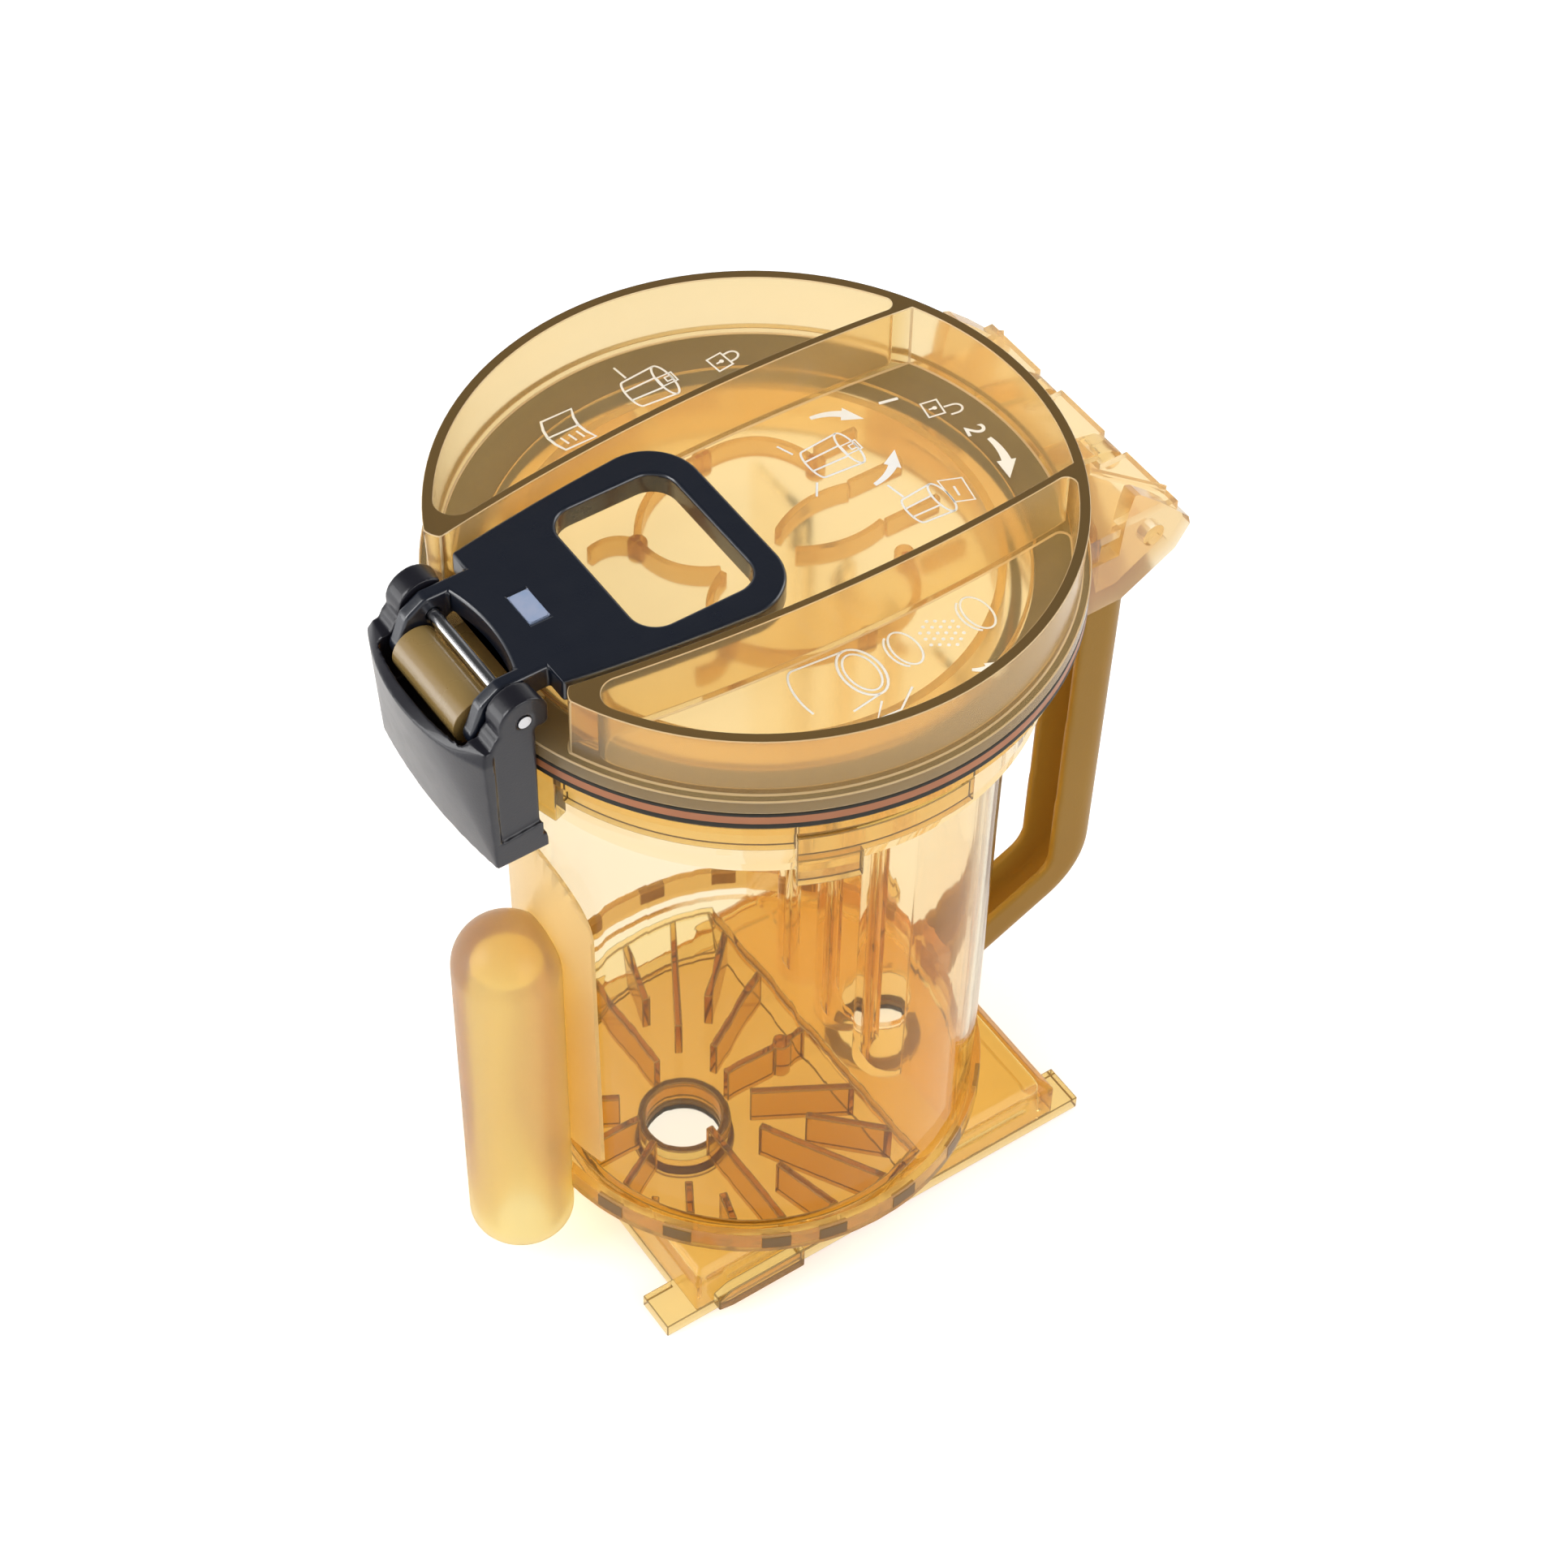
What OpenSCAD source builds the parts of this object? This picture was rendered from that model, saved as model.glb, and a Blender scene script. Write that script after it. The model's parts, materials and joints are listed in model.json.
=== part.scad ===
// Absorber canister: a clear round vessel on a slide-in plenum base, with a carrying
// handle, a side column and a hooked lid that a draw latch pulls down on its gasket.
// Origin: vessel axis on the underside of the base plate. +X points to the handle, +Z up.

/* [Base] */
// Length of the plenum box on the handle side of the vessel axis
box_front = 61; // [56:0.5:70]
// Length of the plenum box on the latch side of the vessel axis
box_back = 46.3; // [42:0.1:52]
// Width of the plenum box
box_w = 94; // [88:1:108]
// Height of the plenum box, base plate included
box_h = 17.2; // [14:0.1:26]
// Thickness of the base plate
plate_t = 4; // [3:0.5:6]
// Wall of the plenum box
box_wall = 2.5; // [2:0.1:3.5]
// Bevel along the top edges of the plenum box
box_bevel = 3; // [1:0.1:4]
// How far the corner tabs stand out of the base plate
tab_out = 8.3; // [5:0.1:12]
// Width of each corner tab
tab_w = 11; // [8:0.5:16]
// How far the side rails stand out of the box
rail_out = 3; // [2:0.1:5]
// Length of each side rail
rail_len = 25; // [15:0.5:40]
// Bore of the gas ports
port_d = 19.2; // [14:0.1:22]
// Distance of the inlet port from the vessel axis, towards the latch
inlet_x = 19.3; // [14:0.1:22]
// Distance of the outlet port from the vessel axis, towards the handle
outlet_x = 40; // [36:0.5:42]
// Height of the collar round the inlet port, above the base plate
port_collar_h = 7; // [4.5:0.1:9]

/* [Basin] */
// How far the basin's inner wall reaches past the side of the plenum box, at its top
basin_out = 1; // [-3:0.5:3]
// Draft of the basin wall, as the loss of radius down to its floor
basin_draft = 4; // [1:0.5:6]
// Distance of the basin's straight wall from the vessel axis
chord_x = 17.4; // [14:0.1:24]
// Wall of the basin
basin_wall_t = 2; // [1.5:0.1:3]
// Depth of the basin below the vessel floor, which is the height of its fins
fin_h = 11.7; // [7:0.1:13]
// Thickness of the fins
fin_t = 2; // [1.2:0.1:3]

/* [Vessel] */
// Outer diameter of the vessel wall at the top
vessel_d = 114.6; // [108:0.2:118]
// Draft of the vessel wall, as the loss of radius over its height
vessel_draft = 1.6; // [0:0.1:2.4]
// Thickness of the vessel wall
vessel_wall = 2.5; // [2:0.1:4]
// Height of the vessel from the plenum box to its rim
vessel_h = 175.1; // [120:0.1:220]
// Height of the thick foot ring round the vessel
foot_ring_h = 7.1; // [5:0.1:10]
// Outer diameter of the rim flange
rim_d = 140; // [134:0.5:142]
// Thickness of the rim flange
rim_t = 3.4; // [2.5:0.1:5]
// How far the skirt under the rim stands in from the edge of the rim
skirt_in = 5.1; // [4:0.1:7]
// Height of the skirt under the rim
skirt_h = 17.4; // [12:0.1:24]
// How far the collar band stands out of the skirt
band_out = 2.6; // [1.5:0.1:3]
// Height of the collar band
band_h = 7.9; // [5:0.1:10]

/* [Side column] */
// Outer diameter of the side column
column_d = 25.6; // [20:0.2:30]
// Distance of the side column's axis from the vessel wall
column_out = 9.2; // [5:0.1:12]
// Height of the top of the side column
column_top = 117; // [80:1:150]
// Height of the foot of the side column
column_foot = 7; // [5:0.5:15]
// Wall of the side column
column_wall = 2; // [1.5:0.1:3]
// Half angle of the frosted pad behind the column
pad_angle = 18; // [13:1:24]
// Height of the top of the frosted pad
pad_top = 139; // [100:1:155]

/* [Handle] */
// Thickness of the handle
handle_w = 13; // [10:0.5:20]
// Distance of the grip's outer face from the vessel axis
grip_x = 104.4; // [98:0.2:116]
// Height of the grip's upper bend
grip_top = 139; // [110:1:150]
// Height of the grip's lower bend
grip_bottom = 37; // [30:1:60]
// Depth of the grip from its outer face to its inner edges
grip_depth = 14.7; // [11:0.1:20]
// Wall of the handle's channel section
handle_wall = 2.2; // [1.6:0.1:3.5]
// Radius of the bends along the middle of the grip's round edge
bend_r = 15; // [10:1:24]

/* [Bracket] */
// Distance of the shelf's outer edge from the rim
shelf_out = 18; // [16:0.5:22]
// Thickness of the shelf
shelf_t = 2.5; // [2:0.1:3]
// Distance between the outer faces of the bracket's side plates
bracket_w = 70.4; // [64:0.2:80]
// Thickness of the side plates
side_t = 4; // [3:0.1:5]
// Diameter of the pin hole in the side plates
pin_hole_d = 5.6; // [3:0.1:7]
// Width of the notches that the lid hooks drop into
notch_w = 7.8; // [6:0.1:9]

/* [Lid] */
// Height of the lid wall above the lid floor
lid_h = 16.5; // [14.5:0.1:22]
// Thickness of the lid wall
lid_wall = 2.5; // [2:0.1:3.5]
// How far the lid flange stands out of the rim
flange_out = 1.5; // [0.5:0.1:3]
// Thickness of the lid flange
flange_t = 3.7; // [3:0.1:6]
// Thickness of the lid floor
floor_t = 2.5; // [2:0.1:3]
// Half width of the lever's channel at its widest
channel_half = 31.6; // [30:0.2:34]
// Thickness of the two ribs beside the channel
rib_t = 1.9; // [1.4:0.1:3]
// Thickness of the gasket
gasket_t = 5; // [3.5:0.1:7]
// Width of the gasket
gasket_w = 12; // [8:0.1:13]
// Depth of the spigot below the lid flange
spigot_h = 12; // [8:0.5:20]
// Radial gap between the spigot and the vessel wall
spigot_gap = 1.2; // [1:0.1:3]

/* [Latch] */
// Width of the lever's pivot barrel on the lid
barrel_w = 24.6; // [20:0.2:28]
// Diameter of the pivot barrel
barrel_d = 11.4; // [9:0.1:11.6]
// Diameter of the lever's pivot pin
pivot_pin_d = 4; // [3:0.1:5]
// Diameter of the claw's pin
claw_pin_d = 3; // [2:0.1:3.4]
// Thickness of the lever plate
lever_t = 6; // [4:0.1:7]
// Gap between the lever's edges and the sides of its channel
lever_gap = 3; // [2:0.1:5]
// Distance of the lever's free end from the vessel axis
lever_end = 5; // [0:0.5:15]
// Thickness of the lever's two arms
arm_t = 3.6; // [3:0.1:4]
// Thickness of the claw's two ears
ear_t = 6.3; // [5:0.1:7]
// Thickness of the claw's foot
foot_t = 3.9; // [3:0.1:5]
// How far the claw's middle stands out of its corners, at its upper edge
claw_bulge = 5.5; // [3:0.1:8]
// The same at its lower edge
claw_low_bulge = 1.9; // [1:0.1:5]
// Depth of the recess in each side of the claw
claw_recess = 0.8; // [0.4:0.1:1.2]

/* [Hidden] */
$fn = 96;

// Clearances
run_gap = 0.05;
seat_gap = 0.3;
cut = 1;
// Overlap of shapes that are joined into one
weld = 0.1;
// Height of cuts that pass through everything above them
tall = 80;

// Heights
rim_z = box_h + vessel_h;
floor_plate_t = 2.5;
basin_top = box_h + floor_plate_t;
basin_floor = basin_top - fin_h;
flange_z = rim_z + gasket_t;
floor_z = flange_z + flange_t;
lid_z = floor_z + lid_h;
foot_ring_z = box_h + 2.2;

// Radii of the vessel
vessel_r = vessel_d / 2;
vessel_foot_r = vessel_r - vessel_draft;
rim_r = rim_d / 2;
flange_r = rim_r + flange_out;
gasket_in = flange_r - gasket_w;
column_x = vessel_r + column_out;
shelf_x = rim_r + shelf_out;
skirt_r = rim_r - skirt_in;
skirt_wall = 2.5;
foot_ring_r = vessel_foot_r + vessel_draft + 0.6;
basin_r = box_w / 2 + basin_out;

// Latch axes: the lever turns about the pivot, the claw about its own pin on the lever
pivot_x = -(flange_r + 4.7);
pivot_z = floor_z + 2.9;
claw_x = pivot_x + 5.1;
claw_z = pivot_z + 6.1;
arm_gap = 0.6;
arm_in = barrel_w / 2 + arm_gap;
arm_out = arm_in + arm_t;
ear_in = arm_out + 0.5;
ear_out = ear_in + ear_t;
lever_top = floor_z + lid_h - 2.3;
keeper_r = skirt_r + 3.6;
keeper_drop = 14.3;
keeper_z = rim_z - rim_t - keeper_drop;
claw_bottom = keeper_z - 0.4 - foot_t;

// Sides of the channel are arcs of one large radius
bow_r = 442;
bow_x = 15;

// Pin hole and lid hinge line on the bracket
pin_x = rim_r + 11.2;
pin_z = rim_z - 2.9;
hinge_x = shelf_x - 3;
hinge_z = rim_z + 0.7;
shelf_z = rim_z + 3.2;
notch_y = 11.9;

olive = [0.55, 0.40, 0.12];
amber = [0.86, 0.60, 0.18];
frost = [0.82, 0.62, 0.28];
clear = [0.96, 0.88, 0.76, 0.5];
dark = [0.12, 0.12, 0.12];

// ---- shared shapes ----

module rounded_rect(x0, x1, half, r) {
    for (x = [x0 + r, x1 - r], y = [-half + r, half - r])
        translate([x, y]) circle(r);
    translate([x0 + r, -half]) square([x1 - x0 - 2 * r, 2 * half]);
    translate([x0, -half + r]) square([x1 - x0, 2 * half - 2 * r]);
}

// A cylinder along Y, between two values of y
module rod(x, z, r, y0, y1) {
    translate([x, y1, z]) rotate([90, 0, 0]) cylinder(r = r, h = y1 - y0);
}

// A drawing in X and Z, given thickness along Y
module side_plate(y0, y1) {
    translate([0, y1, 0]) rotate([90, 0, 0]) linear_extrude(y1 - y0) children();
}

// A ring sector about the vessel axis
module arc_band(r0, r1, z0, z1, a0, a1) {
    rotate([0, 0, a0])
        rotate_extrude(angle = a1 - a0)
            translate([r0, z0]) square([r1 - r0, z1 - z0]);
}

// The outside of the vessel as one solid cone, grown by a margin
module vessel_cone(margin, z0, z1) {
    slope = vessel_draft / (vessel_h - rim_t);
    translate([0, 0, z0])
        cylinder(r1 = vessel_foot_r + slope * (z0 - box_h) + margin,
            r2 = vessel_foot_r + slope * (z1 - box_h) + margin, h = z1 - z0);
}

// ---- base ----

module box_outline(inset) {
    translate([-box_back + inset, -box_w / 2 + inset])
        square([box_front + box_back - 2 * inset, box_w - 2 * inset]);
}

module bevelled_box(z0, z1, b) {
    intersection() {
        side_plate(-box_w / 2, box_w / 2)
            polygon([[-box_back, z0], [box_front, z0], [box_front, z1 - b],
                [box_front - b, z1], [-box_back + b, z1], [-box_back, z1 - b]]);
        rotate([90, 0, 90])
            translate([0, 0, -box_back])
                linear_extrude(box_front + box_back)
                    polygon([[-box_w / 2, z0], [box_w / 2, z0], [box_w / 2, z1 - b],
                        [box_w / 2 - b, z1], [-box_w / 2 + b, z1], [-box_w / 2, z1 - b]]);
    }
}

// The basin between two heights, wider at its top, straight on the handle side
module basin_solid(grow, z0, z1) {
    slope = basin_draft / fin_h;
    intersection() {
        translate([0, 0, z0])
            cylinder(r1 = basin_r + grow - slope * (basin_top - z0),
                r2 = basin_r + grow - slope * (basin_top - z1), h = z1 - z0);
        translate([-rim_d, -rim_d, z0]) cube([rim_d + chord_x + grow, 2 * rim_d, z1 - z0]);
    }
}

module port_hole(x, r, z0, z1) {
    translate([x, 0, z0]) cylinder(r = r, h = z1 - z0);
}

seal_w = 3;
seal_t = 1.8;
collar_t = 2;

module base_plate() {
    tab_y = box_w / 2 - tab_w;
    color(olive)
    difference() {
        union() {
            linear_extrude(plate_t) box_outline(0);
            for (side = [-1, 1]) {
                y0 = side > 0 ? tab_y : -box_w / 2;
                translate([-box_back - tab_out, y0, 0]) cube([tab_out + cut, tab_w, plate_t]);
                translate([box_front - cut, y0, 0]) cube([tab_out + cut, tab_w, plate_t]);
            }
        }
        for (x = [-inlet_x, outlet_x]) {
            port_hole(x, port_d / 2, -cut, plate_t + cut);
            port_hole(x, port_d / 2 + seal_w, -cut, seal_t);
        }
    }
}

module port_seal(x) {
    color(dark)
    difference() {
        port_hole(x, port_d / 2 + seal_w, 0.2, seal_t);
        port_hole(x, port_d / 2, -cut, seal_t + cut);
    }
}

module inlet_seal() {
    port_seal(-inlet_x);
}

module outlet_seal() {
    port_seal(outlet_x);
}

groove_z = 10.1;
groove_h = 4;
groove_in = 1;

module plenum_box() {
    color(olive)
    difference() {
        bevelled_box(plate_t, box_h, box_bevel);
        // room under the deck
        translate([0, 0, plate_t - cut])
            linear_extrude(box_h - plate_t - box_wall + cut) box_outline(box_wall);
        // opening of the basin
        basin_solid(basin_wall_t, plate_t - cut, box_h + cut);
        // opening of the return duct
        port_hole(outlet_x, port_d / 2, plate_t, box_h + cut);
        // long groove along each side
        for (side = [-1, 1])
            translate([-box_back + 8, side * box_w / 2 - groove_in, groove_z])
                cube([box_front + box_back - 16, 2 * groove_in, groove_h]);
    }
}

module slide_rails() {
    rail_x = -box_back + 4.8;
    rail_z = 3;
    rail_h = 7;
    color(olive)
    for (side = [-1, 1]) {
        y0 = side > 0 ? box_w / 2 : -box_w / 2 - rail_out;
        side_plate(y0, y0 + rail_out)
            polygon([[rail_x, plate_t], [rail_x + 4, rail_z], [rail_x + rail_len, rail_z],
                [rail_x + rail_len, rail_z + rail_h], [rail_x + 4, rail_z + rail_h],
                [rail_x, rail_z + rail_h - 2]]);
    }
}

module basin_wall() {
    color(olive)
    difference() {
        basin_solid(basin_wall_t, plate_t, basin_top);
        basin_solid(0, basin_floor, basin_top + cut);
        port_hole(-inlet_x, port_d / 2 + collar_t, plate_t - cut, basin_top);
    }
}

// Where the long fins start, from the axis of the inlet port, every 30 degrees from the handle side
fin_starts = [12.5, 16.5, 21, 11.8, 26, 15.5, 13];
short_fin_start = 31;
locating_boss_x = 10;
locating_boss_r = 2.5;

module fin(angle, start) {
    translate([-inlet_x, 0, basin_floor])
        rotate([0, 0, angle])
            translate([start, -fin_t / 2, 0]) cube([rim_d, fin_t, fin_h]);
}

module support_fins() {
    last = len(fin_starts) - 1;
    color(olive)
    intersection() {
        basin_solid(0, basin_floor, basin_top);
        union() {
            for (i = [0 : last]) fin(30 * i, fin_starts[i]);
            for (i = [1 : last - 1]) fin(-30 * i, fin_starts[i]);
            for (a = [45 : 30 : 135], side = [-1, 1]) fin(side * a, short_fin_start);
            port_hole(locating_boss_x, locating_boss_r, basin_floor, basin_top);
        }
    }
}

module inlet_collar() {
    color(olive)
    difference() {
        port_hole(-inlet_x, port_d / 2 + collar_t, plate_t, plate_t + port_collar_h);
        port_hole(-inlet_x, port_d / 2, 0, box_h);
    }
}

// ---- vessel ----

module vessel_floor() {
    color(frost)
    difference() {
        translate([0, 0, box_h]) cylinder(r = vessel_foot_r - vessel_wall, h = floor_plate_t);
        basin_solid(basin_wall_t, box_h - cut, basin_top + cut);
        port_hole(outlet_x, port_d / 2, box_h - cut, basin_top + cut);
    }
}

// Flat inner wall with flutes, which parts the return passage from the vessel's room
duct_x = 29.5;
duct_t = 2;
flute_r = 5.8;

module return_duct() {
    duct_top = rim_z - rim_t - spigot_h - 4;
    z0 = basin_top;
    color(clear)
    intersection() {
        vessel_cone(-vessel_wall, z0, duct_top);
        translate([0, 0, z0])
            linear_extrude(duct_top - z0)
                difference() {
                    union() {
                        translate([duct_x, -vessel_d / 2]) square([duct_t, vessel_d]);
                        for (i = [-1 : 1])
                            translate([duct_x, i * 3 * flute_r]) circle(flute_r + duct_t);
                    }
                    translate([duct_x + duct_t, -vessel_d / 2]) square([vessel_d, vessel_d]);
                    for (i = [-1 : 1])
                        translate([duct_x + duct_t, i * 3 * flute_r]) circle(flute_r);
                }
    }
}

module vessel_wall() {
    color(clear)
    rotate_extrude()
        polygon([[vessel_foot_r - vessel_wall, box_h], [vessel_foot_r, box_h],
            [vessel_r, rim_z - rim_t], [vessel_r - vessel_wall, rim_z - rim_t]]);
}

module foot_ring() {
    color(frost)
    difference() {
        union() {
            translate([0, 0, foot_ring_z]) cylinder(r = foot_ring_r, h = foot_ring_h);
            // root of the handle
            translate([vessel_foot_r, -handle_w / 2, foot_ring_z])
                cube([handle_root_x - vessel_foot_r, handle_w, foot_ring_h + 2]);
        }
        vessel_cone(0, box_h, rim_z);
        foot_lug_arcs(cut);
    }
}

lug_angle = 7;
lug_in = 1.2;
lug_margin = 1.5;
lug_places = [22, 43, 63, 83, 103, 117, 141, 159];

module foot_lug_arcs(over) {
    for (place = lug_places, side = [-1, 1])
        arc_band(foot_ring_r - lug_in, foot_ring_r + over, foot_ring_z + lug_margin,
            foot_ring_z + foot_ring_h - lug_margin,
            side * place - lug_angle / 2, side * place + lug_angle / 2);
}

module foot_lugs() {
    color(olive) foot_lug_arcs(0);
}

rim_edge = 0.6;

module rim_collar() {
    mouth_r = vessel_r - vessel_wall;
    color(clear)
    rotate_extrude()
        polygon([[mouth_r, rim_z - rim_t], [skirt_r - skirt_wall, rim_z - rim_t],
            [skirt_r - skirt_wall, rim_z - rim_t - skirt_h], [skirt_r, rim_z - rim_t - skirt_h],
            [skirt_r, rim_z - rim_t], [rim_r, rim_z - rim_t],
            [rim_r, rim_z - rim_edge], [rim_r - rim_edge, rim_z], [mouth_r, rim_z]]);
}

// Angles of the collar's steps, measured from +X
keeper_half = 19;
band_start = 64;
band_step = 81;
tab_start = 104;
tab_end = 116.5;
slot_top = 2.9;
slot_h = 1.8;
tab_h = 20;

slot_in = 1.2;
band_gap = 0.15;

// A sector of the collar: a profile, drawn as distance out of the skirt and down from the rim
module collar_sector(side, a0, a1) {
    start = side > 0 ? a0 + band_gap : -a1;
    rotate([0, 0, start])
        rotate_extrude(angle = a1 - a0 - band_gap)
            translate([skirt_r, rim_z - rim_t]) mirror([0, 1]) children();
}

module collar_band() {
    deep = band_h + 4;
    thin = band_out - 1.2;
    slot_foot = slot_top + slot_h;
    slot_out = band_out - slot_in;
    color(clear)
    for (side = [-1, 1]) {
        // the thin stretch beside the bracket
        collar_sector(side, band_start, band_step) square([thin, band_h - 1.4]);
        // the plain stretch towards the latch
        collar_sector(side, tab_end, 180 - keeper_half - 1) square([band_out, band_h]);
        // the deep stretch, with a long slot in its face
        collar_sector(side, band_step, tab_end)
            polygon([[0, 0], [band_out, 0], [band_out, slot_top], [slot_out, slot_top],
                [slot_out, slot_foot], [band_out, slot_foot], [band_out, deep], [0, deep]]);
    }
}

// Tongues that hang below the band
module collar_tabs() {
    color(amber)
    for (side = [-1, 1])
        collar_sector(side, tab_start, tab_end)
            translate([0, band_h + 4]) square([band_out, tab_h - band_h - 4]);
}

module latch_keeper() {
    color(amber)
    arc_band(skirt_r, keeper_r, keeper_z, rim_z - rim_t, 180 - keeper_half, 180 + keeper_half);
}

// ---- side column ----

pad_t = 1;
pad_foot = 38;

module column_pad() {
    pad_half = vessel_r * sin(pad_angle);
    color(frost)
    difference() {
        intersection() {
            vessel_cone(pad_t, foot_ring_z + foot_ring_h, pad_top + cut);
            rotate([90, 0, 270])
                linear_extrude(vessel_r + 2 * pad_t)
                    union() {
                        translate([0, pad_top - pad_half]) circle(pad_half);
                        translate([-pad_half, pad_foot])
                            square([2 * pad_half, pad_top - pad_half - pad_foot]);
                    }
        }
        vessel_cone(0, box_h, rim_z);
    }
}

column_edge = 4;

module side_column() {
    r = column_d / 2;
    dome_z = column_top - r;
    color(frost)
    difference() {
        translate([-column_x, 0, 0])
            rotate_extrude() {
                intersection() {
                    translate([0, dome_z]) circle(r);
                    translate([0, dome_z]) square([r, r]);
                }
                translate([0, column_foot + column_edge])
                    square([r, dome_z - column_foot - column_edge]);
                translate([0, column_foot]) square([r - column_edge, column_edge + cut]);
                intersection() {
                    translate([r - column_edge, column_foot + column_edge]) circle(column_edge);
                    translate([0, column_foot]) square([r, column_edge]);
                }
            }
        // blind hollow, open at the foot
        translate([-column_x, 0, column_foot - cut])
            cylinder(r = r - column_edge - column_wall, h = dome_z - column_foot + cut);
        vessel_cone(0, box_h, rim_z);
        vessel_cone(pad_t, foot_ring_z + foot_ring_h, pad_top + cut);
        translate([0, 0, box_h]) cylinder(r = foot_ring_r, h = foot_ring_z + foot_ring_h - box_h);
    }
}

// ---- bracket and handle ----

bracket_root = 50;
bracket_drop = 18.6;
bracket_floor_z = rim_z - bracket_drop;
bracket_floor_t = 2.6;
shelf_gap = 0.8;
shelf_back_t = 3;
notch_len = 7.4;

// Lower edge of the bracket, from its inner end up to its tip
bracket_low = [rim_r + 3.8, bracket_floor_z];
bracket_tip = [shelf_x, rim_z - 10.5];
bracket_edge = (bracket_tip - bracket_low) / norm(bracket_tip - bracket_low);
bracket_normal = [-bracket_edge[1], bracket_edge[0]];

// Side plate: a low root under the rim, an ear behind the lid and a round nose at the tip
module bracket_profile() {
    ear = [rim_r + 4.3, rim_z + 12.9];
    nose = [shelf_x + 2.9, rim_z - 2.3];
    polygon([[bracket_root, rim_z - 3.9], [rim_r + 1.7, rim_z - 3.9], [rim_r + 2.5, rim_z + 4.9],
        [ear[0] - 1.1, ear[1] - 3.8], ear, [ear[0] + 1.7, ear[1] - 0.7],
        [ear[0] + 7.3, ear[1] - 5.7], nose, [nose[0] + 0.6, nose[1] - 2.5],
        bracket_tip, bracket_low, [bracket_root, bracket_floor_z]]);
}

module bracket() {
    half = bracket_w / 2;
    shelf_in = flange_r + shelf_gap;
    shelf_foot = shelf_z - shelf_t;
    rib_len = 17;
    rib_w = 1.6;
    color(clear)
    difference() {
        union() {
            for (side = [-1, 1])
                side_plate(side > 0 ? half - side_t : -half, side > 0 ? half : -half + side_t)
                    bracket_profile();
            // shelf, and the wall behind it
            difference() {
                translate([bracket_root, -half + cut, shelf_foot])
                    cube([shelf_x - bracket_root, 2 * half - 2 * cut, shelf_t]);
                translate([0, 0, shelf_foot - cut]) cylinder(r = shelf_in, h = shelf_t + 2 * cut);
            }
            intersection() {
                difference() {
                    translate([0, 0, bracket_floor_z + bracket_floor_t])
                        cylinder(r = shelf_in + shelf_back_t,
                            h = shelf_foot - bracket_floor_z - bracket_floor_t);
                    translate([0, 0, bracket_floor_z]) cylinder(r = shelf_in, h = tall);
                }
                translate([0, -half + cut, bracket_floor_z]) cube([shelf_x, 2 * half - 2 * cut, tall]);
            }
            // floor of the bracket, along the lower edge of its side plates
            side_plate(-half + cut, half - cut)
                polygon([[bracket_root, bracket_floor_z], bracket_low, bracket_tip,
                    bracket_tip + bracket_floor_t * bracket_normal,
                    bracket_low + [0, bracket_floor_t],
                    [bracket_root, bracket_floor_z + bracket_floor_t]]);
            // diagonal ribs on the shelf
            for (side = [-1, 1])
                translate([shelf_x - 11, side * rib_len, shelf_z])
                    rotate([0, 0, side * 52])
                        translate([0, -rib_w / 2, -0.5]) cube([rib_len, rib_w, 1.7]);
        }
        // room for the skirt, the rim and the lid above it
        translate([0, 0, bracket_floor_z - tall / 2]) cylinder(r = skirt_r, h = tall);
        translate([0, 0, rim_z - rim_t]) cylinder(r = rim_r, h = tall);
        translate([0, 0, rim_z]) cylinder(r = shelf_in, h = tall);
        // notches for the lid hooks
        for (side = [-1, 1])
            translate([shelf_x - notch_len, side * notch_y - notch_w / 2, shelf_foot - cut])
                cube([2 * notch_len, notch_w, shelf_t + 2 * cut]);
        // pin hole through both side plates
        rod(pin_x, pin_z, pin_hole_d / 2, -half - cut, half + cut);
    }
}

// The middle of the grip's round edge: the corners of its two bends
grip_lean = 2.1;
handle_low = [grip_x - handle_w / 2 - grip_lean, grip_bottom];
handle_high = [grip_x - handle_w / 2, grip_top];
low_angle = 26;
high_angle = 110;
handle_root_x = box_front + seat_gap;

function heading(a) = [cos(a), sin(a)];
function outward(a) = [sin(a), -cos(a)];

grip_dir = handle_high - handle_low;
grip_angle = atan2(grip_dir[1], grip_dir[0]);

// Section of the handle, as [outward, sideways]: a channel open towards the vessel
handle_section = let (half = handle_w / 2, inner = half - handle_wall, depth = grip_depth - half)
    concat([[-depth, -half]],
        [for (a = [-90 : 15 : 90]) half * [cos(a), sin(a)]],
        [[-depth, half], [-depth, inner]],
        [for (a = [90 : -15 : -90]) inner * [cos(a), sin(a)]],
        [[-depth, -inner]]);

function station(mid, angle) = [for (s = handle_section)
    let (q = mid + s[0] * outward(angle)) [q[0], s[1], q[1]]];

// Stations round a bend from one heading to the next
function bend_stations(corner, a0, a1) =
    let (steps = 10, trim = bend_r * tan((a1 - a0) / 2),
        start = corner - trim * heading(a0), centre = start - bend_r * outward(a0))
    [for (i = [0 : steps]) let (a = a0 + (a1 - a0) * i / steps)
        station(centre + bend_r * outward(a), a)];

// A station slid along a heading onto a plane given by a point and a normal
function slid(points, angle, at, normal) = let (d = heading(angle))
    [for (p = points) let (s = ((at - [p[0], p[2]]) * normal) / (d * normal))
        [p[0] + s * d[0], p[1], p[2] + s * d[1]]];

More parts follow.
